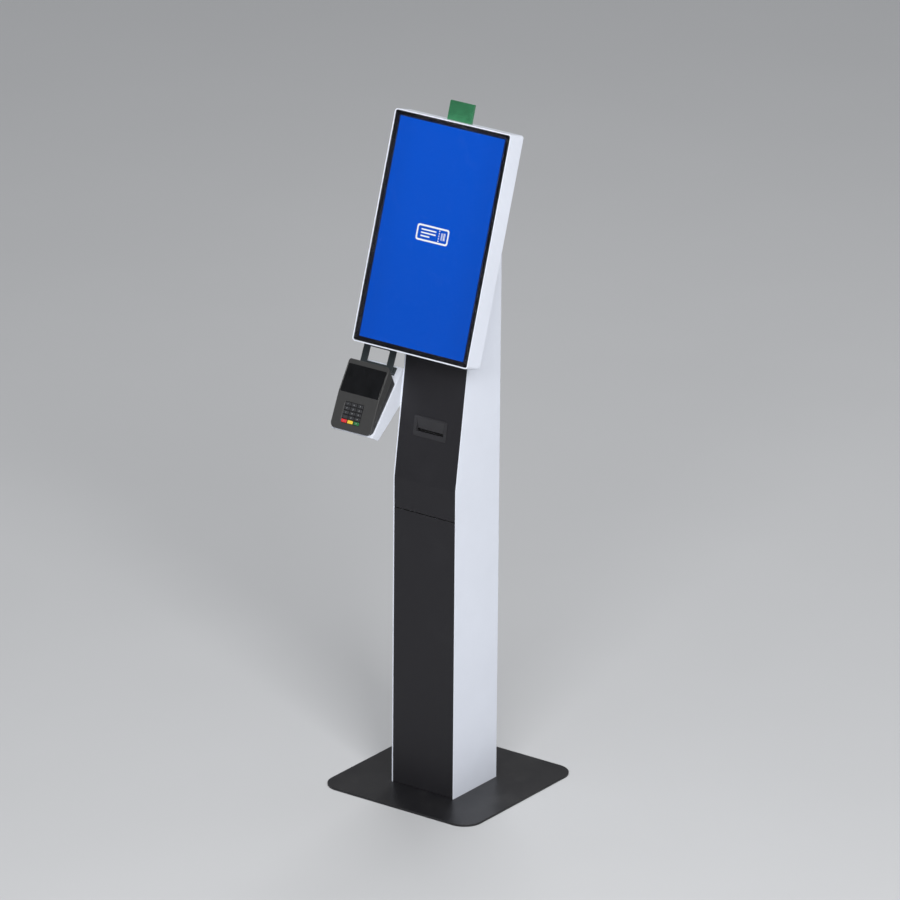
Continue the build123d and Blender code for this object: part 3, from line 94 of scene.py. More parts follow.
# Depth of each finish's relief
COAT_RELIEF = 0.00002
PLASTIC_RELIEF = 0.00003
METAL_RELIEF = 0.00001
PAPER_RELIEF = 0.00003
BOARD_RELIEF = 0.00006


def leaning_plane(origin, tilt):
    """Matrix of a plane that leans back: X across, Y up the slope, Z out of it to the front."""
    across = Vector((1, 0, 0))
    up = Vector((0, math.sin(tilt), math.cos(tilt)))
    out = across.cross(up)
    matrix = Matrix((across, up, out)).transposed().to_4x4()
    matrix.translation = origin
    return matrix


HEAD_PLANE = leaning_plane(HEAD_EDGE, HEAD_TILT)
PLATE_PLANE = leaning_plane(PLATE_FOOT, PLATE_TILT)
KEY_PLANE = leaning_plane(PLATE_PLANE @ KEY_FACE_FOOT, PLATE_TILT - KEY_FACE_SLOPE)

WHITE_NODES = ("column_shell", "column_cap", "rear_door", "head_housing", "terminal_bracket")
CHARCOAL_NODES = ("lower_front_panel", "upper_front_panel")
BLACK_STEEL_NODES = ("terminal_hoop", "head_mount", "roll_holder")
ZINC_NODES = (
    "foot_brackets", "foot_bolts", "hinge_column_leaves", "hinge_door_leaves", "lock_cam",
    "printer_chassis", "paper_shelf", "power_supply", "display_frame", "display_rails",
    "mount_bolts", "bracket_screws",
)
GREY_KEYS = (
    "key_one", "key_two", "key_three", "key_four", "key_five", "key_six",
    "key_seven", "key_eight", "key_nine", "key_star", "key_zero", "key_hash",
)
ALL_KEYS = GREY_KEYS + ("key_cancel", "key_clear", "key_enter")
LEGENDS = ("1", "2", "3", "4", "5", "6", "7", "8", "9", "*", "0", "#", "X", "<", "O")
KEY_SPOTS = [
    (KEYPAD_X + (column - 1) * KEY_PITCH_X, KEYPAD_F + (1.5 - row) * KEY_PITCH_F)
    for row in range(KEY_ROWS)
    for column in range(KEY_COLUMNS)
]

# The studio: the floor's rings, the lights as (place, aim, width and height), and the camera
FLOOR_CORNERS = 96
FLOOR_RADII = (1.0, 10.0, 95.0)
FLOOR_TURNS = [math.tau * step / FLOOR_CORNERS for step in range(FLOOR_CORNERS)]
# Distances over which the floor is painted paler, as painted light
FLOOR_LIGHT_FADE = (3.5, 15.0)
CEILING_HEIGHTS = (0.60, 0.95)
HORIZON_HEIGHTS = (0.02, 0.11)
LIGHTS = {
    "key": ((4.6, -3.6, 4.4), (0, 0, 1.0), (2.4, 2.4)),
    "fill": ((2.8, -6.0, 4.8), (0, 0, 1.0), (2.6, 2.0)),
    "back": ((-1.8, 3.6, 6.2), (0, 0, 1.2), (3.0, 1.6)),
}
CAMERA_PLACE = (11.2495, -15.5203, 8.1961)
CAMERA_RIGHT = Vector((0.8078578, 0.58932721, 0.00769531))
CAMERA_UP = Vector((-0.21411671, 0.28129949, 0.93542751))
CAMERA_BACK = Vector((0.5491082, -0.7573401, 0.35343479))
SENSOR_WIDTH = 36.0
FARTHEST_VIEW = 200.0


# ---------------------------------------------------------------- settings that a user may change
def colour_setting(name, description, default):
    return FloatVectorProperty(
        name=name, description=description, default=default,
        subtype="COLOR", size=3, min=0.0, max=1.0,
    )


class MachineColours(bpy.types.PropertyGroup):
    body_white: colour_setting(
        "Body white", "Powder coat on the column and the display housing", (0.745, 0.78, 0.865)
    )
    panel_charcoal: colour_setting(
        "Panel charcoal", "Powder coat on the front panels", (0.017, 0.0165, 0.0195)
    )
    base_black: colour_setting("Base black", "Powder coat on the base plate", (0.009, 0.009, 0.011))
    screen_blue: colour_setting(
        "Screen blue", "Colour that the lit display shows", (0.0005, 0.084, 0.61)
    )
    beacon_green: colour_setting(
        "Beacon green", "Acrylic of the status beacon", (0.046, 0.205, 0.098)
    )
    terminal_charcoal: colour_setting(
        "Terminal charcoal", "Moulded plastic of the payment terminal", (0.042, 0.042, 0.042)
    )


class MachineSizes(bpy.types.PropertyGroup):
    peel_size: FloatProperty(
        name="Orange peel size", description="Distance between the bumps in the powder coat",
        default=0.0011, min=0.0002, max=0.01, unit="LENGTH",
    )
    edge_radius: FloatProperty(
        name="Edge radius", description="How far the light rounds the folded sheet edges",
        default=0.0008, min=0.0, max=0.005, unit="LENGTH",
    )
    legend_height: FloatProperty(
        name="Legend height", description="Height of the digits on the keys",
        default=0.0052, min=0.002, max=0.008, unit="LENGTH",
    )
    symbol_width: FloatProperty(
        name="Screen symbol width", description="Width of the ticket symbol on the display",
        default=0.104, min=0.03, max=0.3, unit="LENGTH",
    )
    dust: FloatProperty(
        name="Dust", description="How much dust lies on surfaces that face up",
        default=0.25, min=0.0, max=1.0, subtype="FACTOR",
    )
    wear: FloatProperty(
        name="Edge wear", description="How much the coat is rubbed along its edges",
        default=0.35, min=0.0, max=1.0, subtype="FACTOR",
    )


class MachineStudio(bpy.types.PropertyGroup):
    floor_colour: colour_setting("Floor", "Colour of the studio floor", (0.54, 0.545, 0.555))
    # Paler floor colour far out: painted light where the lamps don't reach
    far_floor_painted_light: colour_setting(
        "Far floor painted light", "Colour of the floor far from the machine", (0.85, 0.855, 0.865)
    )
    key_power: FloatProperty(
        name="Key light", description="Power of the large soft light",
        default=310.0, min=0.0, unit="POWER",
    )
    fill_power: FloatProperty(
        name="Fill light", description="Power of the soft light in front",
        default=220.0, min=0.0, unit="POWER",
    )
    back_power: FloatProperty(
        name="Back light", description="Power of the soft light behind",
        default=135.0, min=0.0, unit="POWER",
    )
    ceiling_light: FloatProperty(
        name="Ceiling light", description="Brightness of the ceiling",
        default=0.85, min=0.0, max=10.0,
    )
    room_light: FloatProperty(
        name="Room light", description="Brightness of the walls around",
        default=0.06, min=0.0, max=10.0,
    )
    horizon_light: FloatProperty(
        name="Horizon light", description="Brightness of the low band that the floor runs out into",
        default=0.30, min=0.0, max=10.0,
    )
    lens: FloatProperty(
        name="Lens", description="Focal length of the camera in millimetres",
        default=306.8, min=20.0, max=1000.0,
    )


# ---------------------------------------------------------------- shader building blocks
def add_node(tree, kind, settings=None, values=None):
    """A new node with its settings and the values of its unlinked inputs."""
    node = tree.nodes.new(kind)
    for name, value in (settings or {}).items():
        setattr(node, name, value)
    for name, value in (values or {}).items():
        node.inputs[name].default_value = value
    return node


def new_group(name, inputs, outputs):
    """An empty shader group: inputs and outputs are (name, socket type, default) rows."""
    group = bpy.data.node_groups.new(name, "ShaderNodeTree")
    for label, kind, default in inputs:
        socket = group.interface.new_socket(label, in_out="INPUT", socket_type=kind)
        socket.default_value = default
    for label, kind, _ in outputs:
        group.interface.new_socket(label, in_out="OUTPUT", socket_type=kind)
    return group, group.nodes.new("NodeGroupInput"), group.nodes.new("NodeGroupOutput")


FLOAT = "NodeSocketFloat"
COLOUR = "NodeSocketColor"
VECTOR = "NodeSocketVector"


def math_node(tree, operation, first, second=None, clamp=False):
    """A Math node whose inputs are sockets or numbers; returns its output."""
    node = add_node(tree, "ShaderNodeMath", {"operation": operation, "use_clamp": clamp})
    for socket, value in zip(node.inputs, (first, second)):
        if value is None:
            continue
        if isinstance(value, (int, float)):
            socket.default_value = value
        else:
            tree.links.new(value, socket)
    return node.outputs[0]


def map_range(tree, value, low, high, to_low=0.0, to_high=1.0, smooth=False):
    """A clamped Map Range of a socket; returns its output."""
    node = add_node(
        tree, "ShaderNodeMapRange", {"interpolation_type": "SMOOTHSTEP" if smooth else "LINEAR"},
        {"From Min": low, "From Max": high, "To Min": to_low, "To Max": to_high},
    )
    tree.links.new(value, node.inputs["Value"])
    return node.outputs["Result"]


def mix_colour(tree, factor, first, second):
    """A colour Mix whose inputs are sockets, numbers or colours; returns its output."""
    node = add_node(tree, "ShaderNodeMix", {"data_type": "RGBA"})
    for index, value in ((0, factor), (6, first), (7, second)):
        socket = node.inputs[index]
        if isinstance(value, (int, float)):
            socket.default_value = value
        elif isinstance(value, (tuple, list)):
            socket.default_value = tuple(value)[:3] + (1.0,)
        else:
            tree.links.new(value, socket)
    return node.outputs[2]


def noise(tree, scale, detail=2.0, roughness=0.5, stretch=None):
    """The Fac output of a noise over the machine's coordinates; scale is a number or a socket."""
    place = add_node(tree, "ShaderNodeTexCoord").outputs["Object"]
    if stretch:
        mapping = add_node(tree, "ShaderNodeMapping", None, {"Scale": stretch})
        tree.links.new(place, mapping.inputs["Vector"])
        place = mapping.outputs["Vector"]
    node = add_node(tree, "ShaderNodeTexNoise", None, {"Detail": detail, "Roughness": roughness})
    tree.links.new(place, node.inputs["Vector"])
    if isinstance(scale, (int, float)):
        node.inputs["Scale"].default_value = scale
    else:
        tree.links.new(scale, node.inputs["Scale"])
    return node.outputs["Fac"]


def build_eased_edge():
    """Rounds the light along sharp edges and gives a broken mask of where the finish is rubbed."""
    group, inlet, outlet = new_group(
        "Eased edge",
        [("Radius", FLOAT, 0.0008), ("Wear", FLOAT, 0.3), ("Break-up Scale", FLOAT, 90.0)],
        [("Normal", VECTOR, None), ("Mask", FLOAT, None)],
    )
    bevel = add_node(group, "ShaderNodeBevel", {"samples": 6})
    group.links.new(inlet.outputs["Radius"], bevel.inputs["Radius"])
    geometry = add_node(group, "ShaderNodeNewGeometry")
    dot = add_node(group, "ShaderNodeVectorMath", {"operation": "DOT_PRODUCT"})
    group.links.new(bevel.outputs["Normal"], dot.inputs[0])
    group.links.new(geometry.outputs["Normal"], dot.inputs[1])
    bend = math_node(group, "SUBTRACT", 1.0, dot.outputs["Value"])
    edge = map_range(group, bend, 0.05, 0.22, smooth=True)
    breaks = noise(group, inlet.outputs["Break-up Scale"], 6.0, 0.65)
    patches = map_range(group, breaks, 0.50, 0.66, smooth=True)
    rubbed = math_node(group, "MULTIPLY", edge, patches)
    group.links.new(bevel.outputs["Normal"], outlet.inputs["Normal"])
    worn = math_node(group, "MULTIPLY", rubbed, inlet.outputs["Wear"], True)
    group.links.new(worn, outlet.inputs["Mask"])
    return group


def build_powder_coat():
    """Satin powder coat: orange peel, faint mottling and fine specks."""
    group, inlet, outlet = new_group(
        "Powder coat",
        [
            ("Colour", COLOUR, (0.7, 0.7, 0.7, 1.0)), ("Peel Size", FLOAT, 0.0011),
            ("Roughness", FLOAT, 0.4), ("Mottle", FLOAT, 0.06),
        ],
        [("Colour", COLOUR, None), ("Roughness", FLOAT, None), ("Height", FLOAT, None)],
    )
    peel_scale = math_node(group, "DIVIDE", 1.0, inlet.outputs["Peel Size"])
    peel = noise(group, peel_scale, 2.0, 0.45)
    broad = noise(group, 5.0, 4.0, 0.55)
    specks = map_range(group, noise(group, 2600.0, 1.0), 0.66, 0.74)
    centred = math_node(group, "SUBTRACT", broad, 0.5)
    swing = math_node(group, "MULTIPLY", centred, inlet.outputs["Mottle"])
    lift = math_node(group, "ADD", 1.0, math_node(group, "MULTIPLY", swing, 2.0))
    shade = add_node(group, "ShaderNodeVectorMath", {"operation": "SCALE"})
    group.links.new(inlet.outputs["Colour"], shade.inputs[0])
    group.links.new(lift, shade.inputs["Scale"])
    faint = math_node(group, "MULTIPLY", specks, 0.10)
    speckled = mix_colour(group, faint, shade.outputs[0], (0.5, 0.5, 0.5))
    group.links.new(speckled, outlet.inputs["Colour"])
    uneven = math_node(group, "MULTIPLY", swing, 1.6)
    rough = math_node(group, "ADD", inlet.outputs["Roughness"], uneven)
    rough = math_node(group, "ADD", rough, math_node(group, "MULTIPLY", peel, 0.05), True)
    group.links.new(rough, outlet.inputs["Roughness"])
    height = math_node(group, "ADD", peel, math_node(group, "MULTIPLY", specks, 0.15))
    group.links.new(height, outlet.inputs["Height"])
    return group


def build_settled_dust():
    """Pale dust on faces that look up, thicker in patches."""
    group, inlet, outlet = new_group(
        "Settled dust",
        [
            ("Colour", COLOUR, (0.5, 0.5, 0.5, 1.0)),
            ("Dust Colour", COLOUR, (0.42, 0.40, 0.37, 1.0)),
            ("Amount", FLOAT, 0.25),
        ],
        [("Colour", COLOUR, None), ("Mask", FLOAT, None)],
    )
    geometry = add_node(group, "ShaderNodeNewGeometry")
    parts = add_node(group, "ShaderNodeSeparateXYZ")
    group.links.new(geometry.outputs["Normal"], parts.inputs[0])
    up = map_range(group, parts.outputs["Z"], 0.25, 0.95, smooth=True)
    patches = map_range(group, noise(group, 14.0, 7.0, 0.62), 0.35, 0.72)
    fine = map_range(group, noise(group, 900.0, 2.0), 0.30, 0.75)
    mask = math_node(group, "MULTIPLY", up, math_node(group, "MULTIPLY", patches, fine))
    mask = math_node(group, "MULTIPLY", mask, inlet.outputs["Amount"], True)
    dusted = mix_colour(group, mask, inlet.outputs["Colour"], inlet.outputs["Dust Colour"])
    group.links.new(dusted, outlet.inputs["Colour"])
    group.links.new(mask, outlet.inputs["Mask"])
    return group


def build_fine_scratches():
    """A mask of short hairline scratches in two directions, only in patches."""
    group, inlet, outlet = new_group(
        "Fine scratches",
        [("Amount", FLOAT, 0.3), ("Patch Scale", FLOAT, 7.0)],
        [("Mask", FLOAT, None)],
    )
    lines = []
    for stretch in ((40.0, 900.0, 900.0), (800.0, 60.0, 700.0)):
        fibre = noise(group, 1.0, 3.0, 0.6, stretch)
        ridge = math_node(group, "ABSOLUTE", math_node(group, "SUBTRACT", fibre, 0.5))
        lines.append(map_range(group, ridge, 0.0, 0.010, 1.0, 0.0))
    areas = noise(group, inlet.outputs["Patch Scale"], 4.0, 0.6)
    patches = map_range(group, areas, 0.54, 0.68, smooth=True)
    both = math_node(group, "MULTIPLY", math_node(group, "MAXIMUM", lines[0], lines[1]), patches)
    mask = math_node(group, "MULTIPLY", both, inlet.outputs["Amount"], True)
    group.links.new(mask, outlet.inputs["Mask"])
    return group


def build_moulded_grain():
    """Spark-eroded texture of moulded plastic, with gloss that varies where it is handled."""
    group, inlet, outlet = new_group(
        "Moulded grain",
        [("Grain Size", FLOAT, 0.0004), ("Roughness", FLOAT, 0.5), ("Handling", FLOAT, 0.1)],
        [("Roughness", FLOAT, None), ("Height", FLOAT, None), ("Handled", FLOAT, None)],
    )
    grain_scale = math_node(group, "DIVIDE", 1.0, inlet.outputs["Grain Size"])
    grain = noise(group, grain_scale, 2.0, 0.6)
    handled = map_range(group, noise(group, 38.0, 5.0, 0.6), 0.42, 0.68, smooth=True)
    polish = math_node(group, "MULTIPLY", handled, inlet.outputs["Handling"])
    rough = math_node(group, "SUBTRACT", inlet.outputs["Roughness"], polish)
    rough = math_node(group, "ADD", rough, math_node(group, "MULTIPLY", grain, 0.08), True)
    group.links.new(rough, outlet.inputs["Roughness"])
    group.links.new(grain, outlet.inputs["Height"])
    group.links.new(handled, outlet.inputs["Handled"])
    return group


def build_metal_lines():
    """Drawn or rolled metal: fine lines along one axis and cloudy plating."""
    group, inlet, outlet = new_group(
        "Metal lines",
        [
            ("Colour", COLOUR, (0.6, 0.6, 0.6, 1.0)), ("Cloud", FLOAT, 0.12),
            ("Roughness", FLOAT, 0.35),
        ],
        [("Colour", COLOUR, None), ("Roughness", FLOAT, None), ("Height", FLOAT, None)],
    )
    lines = noise(group, 1.0, 3.0, 0.6, (1500.0, 1500.0, 60.0))
    cloud = noise(group, 55.0, 5.0, 0.6)
    centred = math_node(group, "SUBTRACT", cloud, 0.5)
    swing = math_node(group, "MULTIPLY", centred, inlet.outputs["Cloud"])
    lift = math_node(group, "ADD", 1.0, math_node(group, "MULTIPLY", swing, 2.0))
    shade = add_node(group, "ShaderNodeVectorMath", {"operation": "SCALE"})
    group.links.new(inlet.outputs["Colour"], shade.inputs[0])
    group.links.new(lift, shade.inputs["Scale"])
    group.links.new(shade.outputs[0], outlet.inputs["Colour"])
    lined = math_node(group, "MULTIPLY", lines, 0.12)
    rough = math_node(group, "ADD", inlet.outputs["Roughness"], lined)
    rough = math_node(group, "ADD", rough, swing, True)
    group.links.new(rough, outlet.inputs["Roughness"])
    group.links.new(lines, outlet.inputs["Height"])
    return group


def build_smudges():
    """Finger marks and wiping streaks as a change in roughness."""
    group, inlet, outlet = new_group(
        "Smudges",
        [("Amount", FLOAT, 0.2), ("Scale", FLOAT, 22.0)],
        [("Roughness", FLOAT, None)],
    )
    prints = noise(group, inlet.outputs["Scale"], 6.0, 0.6)
    blots = map_range(group, prints, 0.50, 0.70, smooth=True)
    streaks = map_range(group, noise(group, 1.0, 3.0, 0.6, (9.0, 160.0, 60.0)), 0.45, 0.75)
    both = math_node(group, "ADD", blots, math_node(group, "MULTIPLY", streaks, 0.5))
    smeared = math_node(group, "MULTIPLY", both, inlet.outputs["Amount"], True)
    group.links.new(smeared, outlet.inputs["Roughness"])
    return group


GROUP_BUILDERS = {
    "Eased edge": build_eased_edge,
    "Powder coat": build_powder_coat,
    "Settled dust": build_settled_dust,
    "Fine scratches": build_fine_scratches,
    "Moulded grain": build_moulded_grain,
    "Metal lines": build_metal_lines,
    "Smudges": build_smudges,
}


def use_group(tree, name, values=None):
    """Places a shader group in a material, building the group the first time it is asked for."""
    group = bpy.data.node_groups.get(name) or GROUP_BUILDERS[name]()
    node = add_node(tree, "ShaderNodeGroup", {"node_tree": group}, values)
    node.label = name
    return node


def new_material(name, shader_values=None):
    """A material with a Principled shader; returns (material, node tree, shader)."""
    material = bpy.data.materials.new(name)
    material.use_nodes = True
    shader = material.node_tree.nodes["Principled BSDF"]
    for label, value in (shader_values or {}).items():
        shader.inputs[label].default_value = value
    return material, material.node_tree, shader


def solid(colour):
    """A colour with full alpha, for a socket's default."""
    return tuple(colour)[:3] + (1.0,)


def connect_bump(tree, shader, height, distance, strength, normal=None):
    """Feeds a height through a Bump node to the shader's Normal."""
    bump = add_node(tree, "ShaderNodeBump", None, {"Strength": strength, "Distance": distance})
    tree.links.new(height, bump.inputs["Height"])
    if normal is not None:
        tree.links.new(normal, bump.inputs["Normal"])
    tree.links.new(bump.outputs["Normal"], shader.inputs["Normal"])


def connect_smudges(tree, shader, roughness, marks):
    """Feeds an even roughness with finger marks on top to the shader's Roughness."""
    smudge = use_group(tree, "Smudges", marks)
    rough = math_node(tree, "ADD", smudge.outputs[0], roughness, True)
    tree.links.new(rough, shader.inputs["Roughness"])


def powder_material(
    name, colour, roughness, wear_colour, sizes, scratch=0.25, dust=1.0, mottle=0.06, specular=0.45
):
    """Powder-coated sheet steel with orange peel, rubbed edges, hairline scratches and dust."""
    material, tree, shader = new_material(name, {"Specular IOR Level": specular})
    coat = use_group(tree, "Powder coat", {
        "Colour": solid(colour), "Peel Size": sizes.peel_size,
        "Roughness": roughness, "Mottle": mottle,
    })
    edge = use_group(tree, "Eased edge", {"Radius": sizes.edge_radius, "Wear": sizes.wear})
    marks = use_group(tree, "Fine scratches", {"Amount": scratch})
    worn = math_node(tree, "MAXIMUM", edge.outputs["Mask"], marks.outputs["Mask"])
    coloured = mix_colour(tree, worn, coat.outputs["Colour"], wear_colour)
    dusty = use_group(tree, "Settled dust", {"Amount": sizes.dust * dust})
    tree.links.new(coloured, dusty.inputs["Colour"])
    tree.links.new(dusty.outputs["Colour"], shader.inputs["Base Color"])
    dulled = math_node(tree, "MULTIPLY", dusty.outputs["Mask"], 0.5)
    rough = math_node(tree, "ADD", coat.outputs["Roughness"], dulled, True)
    tree.links.new(rough, shader.inputs["Roughness"])
    connect_bump(tree, shader, coat.outputs["Height"], COAT_RELIEF, 0.45, edge.outputs["Normal"])
    return material


def plastic_material(name, colour, roughness, grain_size, handling=0.12, radius=0.0006):
    """Moulded plastic or rubber with grain, eased edges and handled patches."""
    material, tree, shader = new_material(name)
    grain = use_group(tree, "Moulded grain", {
        "Grain Size": grain_size, "Roughness": roughness, "Handling": handling,
    })
    edge = use_group(tree, "Eased edge", {"Radius": radius, "Wear": 0.25})
    lighter = tuple(min(1.0, value * 1.9 + 0.012) for value in tuple(colour)[:3])
    coloured = mix_colour(tree, edge.outputs["Mask"], solid(colour), lighter)
    handled = math_node(tree, "MULTIPLY", grain.outputs["Handled"], 0.12)
    tree.links.new(mix_colour(tree, handled, coloured, lighter), shader.inputs["Base Color"])
    tree.links.new(grain.outputs["Roughness"], shader.inputs["Roughness"])
    connect_bump(tree, shader, grain.outputs["Height"], PLASTIC_RELIEF, 0.5, edge.outputs["Normal"])
    return material


def metal_material(name, colour, roughness, cloud=0.12, radius=0.0004):
    """Plated, drawn or anodised metal."""
    material, tree, shader = new_material(name, {"Metallic": 1.0})
    lines = use_group(tree, "Metal lines", {
        "Colour": solid(colour), "Cloud": cloud, "Roughness": roughness,
    })
    edge = use_group(tree, "Eased edge", {"Radius": radius, "Wear": 0.0})
    tree.links.new(lines.outputs["Colour"], shader.inputs["Base Color"])
    tree.links.new(lines.outputs["Roughness"], shader.inputs["Roughness"])
    connect_bump(tree, shader, lines.outputs["Height"], METAL_RELIEF, 0.4, edge.outputs["Normal"])
    return material


# ---------------------------------------------------------------- placing pieces
def dress(names, material):
    """Gives CAD nodes a material in place of their plain one."""
    for name in names:
        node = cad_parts[name]
        for index in range(max(1, len(node.material_slots))):
            if not node.material_slots:
                node.data.materials.append(material)
            node.material_slots[index].link = "OBJECT"
            node.material_slots[index].material = material


def add_piece(name, mesh_data, body, material):
    """Links a finished mesh as a named piece that rides on a body."""
    piece = bpy.data.objects.new(name, mesh_data)
    bpy.context.scene.collection.objects.link(piece)
    if not mesh_data.materials:
        mesh_data.materials.append(material)
    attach(piece, body)
    return piece


def mesh_from(name, form, matrix):
    """Turns a bmesh built on a plane into mesh data in the machine's frame."""
    bmesh.ops.transform(form, matrix=matrix, verts=form.verts)
    bmesh.ops.recalc_face_normals(form, faces=form.faces)
    mesh_data = bpy.data.meshes.new(name)
    form.to_mesh(mesh_data)
    form.free()
    return mesh_data


def rounded_outline(width, height, radius, steps=6):
    """Corner-rounded rectangle about the origin, as (x, y) points running anticlockwise."""
    points = []
    for turn, (x, y) in enumerate(((1, 1), (-1, 1), (-1, -1), (1, -1))):
        for step in range(steps + 1):
            angle = math.radians(90 * turn + 90 * step / steps)
            points.append((
                x * (width / 2 - radius) + radius * math.cos(angle),
                y * (height / 2 - radius) + radius * math.sin(angle),
            ))
    return points


def text_mesh(name, words, height, matrix, lift, depth):
    """A flat mesh of generic characters, centred on a plane's origin."""
    curve = bpy.data.curves.new(name, "FONT")
    curve.body = words
    curve.size = height
    curve.align_x = "CENTER"
    curve.align_y = "CENTER"
    curve.extrude = depth / 2
    holder = bpy.data.objects.new(name, curve)
    bpy.context.scene.collection.objects.link(holder)
    bpy.context.view_layer.update()
    mesh_data = bpy.data.meshes.new_from_object(holder)
    bpy.data.objects.remove(holder)
    bpy.data.curves.remove(curve)
    mesh_data.transform(matrix @ Matrix.Translation((0, 0, lift)))
    mesh_data.name = name
    return mesh_data


# ---------------------------------------------------------------- one operator per group of pieces
class MACHINE_OT_sheet_steel(bpy.types.Operator):
    """Powder coats the column, the panels, the base plate, the brackets and the display housing"""

    bl_idname = "ticket_machine.sheet_steel"
    bl_label = "Coat Sheet Steel"

    def execute(self, context):
        colours = context.scene.ticket_machine_colours
        sizes = context.scene.ticket_machine_sizes
        primer = (0.42, 0.42, 0.43)
        bare = (0.30, 0.30, 0.31)
        dress(WHITE_NODES, powder_material(
            "Body white coat", colours.body_white, 0.36, primer, sizes, scratch=0.12,
        ))
        dress(CHARCOAL_NODES, powder_material(
            "Panel charcoal coat", colours.panel_charcoal, 0.44, bare, sizes,
            scratch=0.06, dust=0.3, mottle=0.05, specular=0.22,
        ))
        dress(("base_plate",), powder_material(
            "Base black coat", colours.base_black, 0.36, bare, sizes,
            scratch=0.16, dust=0.16, mottle=0.05, specular=0.5,
        ))
        dress(BLACK_STEEL_NODES, powder_material(
            "Bracket black coat", (0.034, 0.042, 0.046), 0.42, bare, sizes,
            scratch=0.08, dust=0.3, mottle=0.05, specular=0.3,
        ))
        return {"FINISHED"}


class MACHINE_OT_metal(bpy.types.Operator):
    """Plates the fasteners, hinges and internal metalwork"""

    bl_idname = "ticket_machine.metal"
    bl_label = "Plate Metalwork"

    def execute(self, context):
        dress(ZINC_NODES, metal_material("Zinc plate", (0.56, 0.57, 0.58), 0.34))
        chrome = metal_material("Lock chrome", (0.72, 0.72, 0.74), 0.14, 0.04)
        dress(("lock_housing", "lock_barrel"), chrome)
        anodised = metal_material("Anodised aluminium", (0.50, 0.51, 0.53), 0.42, 0.06)
        dress(("computer_box", "print_head"), anodised)
        return {"FINISHED"}


def lcd_material(colour):
    """Lit display: even blue that falls off a little towards the edges, with a fine dot pattern."""
    material, tree, shader = new_material("Lit screen", {
        "Base Color": (0.002, 0.003, 0.01, 1.0), "Roughness": 0.9,
        "Specular IOR Level": 0.05, "Emission Strength": 1.0,
    })
    place = add_node(tree, "ShaderNodeTexCoord").outputs["Object"]
    parts = add_node(tree, "ShaderNodeSeparateXYZ")
    tree.links.new(place, parts.inputs[0])
    sideways = math_node(tree, "ABSOLUTE", parts.outputs["X"])
    side_fall = map_range(tree, sideways, *LIT_SIDES, 1.0, 0.93, smooth=True)
    height_fall = map_range(tree, parts.outputs["Z"], *LIT_HEIGHTS, 0.94, 1.03, smooth=True)
    cloud = map_range(tree, noise(tree, 3.0, 2.0), 0.3, 0.7, 0.985, 1.015)
    dots = map_range(tree, noise(tree, DOT_SCALE, 1.0), 0.2, 0.8, 0.97, 1.03)
    level = math_node(tree, "MULTIPLY", side_fall, height_fall)
    level = math_node(tree, "MULTIPLY", level, math_node(tree, "MULTIPLY", cloud, dots))
    # Only the face that looks out is lit; the panel's tray stays dark
    facing = add_node(tree, "ShaderNodeSeparateXYZ")
    tree.links.new(add_node(tree, "ShaderNodeNewGeometry").outputs["Normal"], facing.inputs[0])
    front = map_range(tree, facing.outputs["Y"], *LIT_FACING, 1.0, 0.0)
    level = math_node(tree, "MULTIPLY", level, front)
    blue = {"Vector": tuple(colour)[:3]}
    shade = add_node(tree, "ShaderNodeVectorMath", {"operation": "SCALE"}, blue)
    tree.links.new(level, shade.inputs["Scale"])
    tree.links.new(shade.outputs[0], shader.inputs["Emission Color"])
    return material


def add_rectangle(form, left, bottom, right, top):
    """Adds one flat rectangle to a bmesh."""
    corners = ((left, bottom), (right, bottom), (right, top), (left, top))
    form.faces.new([form.verts.new((x, y, 0)) for x, y in corners])


def ticket_symbol(width):
    """A plain ticket outline with a torn-off stub, as flat mesh on the display."""
    form = bmesh.new()
    height = width * 0.42
    line = width * 0.045
    dot = line / 3
    print_height = line / 2.6
    outer = rounded_outline(width, height, height * 0.16)
    inner = rounded_outline(width - 2 * line, height - 2 * line, height * 0.10)
    rings = [[form.verts.new((x, y, 0)) for x, y in ring] for ring in (outer, inner)]
    for index in range(len(outer)):
        after = (index + 1) % len(outer)
        form.faces.new((rings[0][index], rings[0][after], rings[1][after], rings[1][index]))
    # Perforation between the stub and the ticket
    tear = width * 0.20
    for step in range(5):
        y = (step - 2) * height * 0.155
        add_rectangle(form, tear - dot, y - dot, tear + dot, y + dot)
    # Three printed lines on the ticket and bars on the stub
    for step, length in enumerate((0.46, 0.46, 0.28)):
        left = -width * 0.36
        y = (1 - step) * height * 0.2
        add_rectangle(form, left, y - print_height, left + width * length, y + print_height)
    for step, thick in enumerate((0.020, 0.010, 0.024, 0.012)):
        left = width * (0.27 + 0.036 * step)
        add_rectangle(form, left, -height * 0.22, left + width * thick, height * 0.22)
    place = (0, HEAD_LENGTH * SYMBOL_PLACE, DISPLAY_BACK + SYMBOL_LIFT)
    spot = HEAD_PLANE @ Matrix.Translation(place)
    return mesh_from("screen_symbol", form, spot)


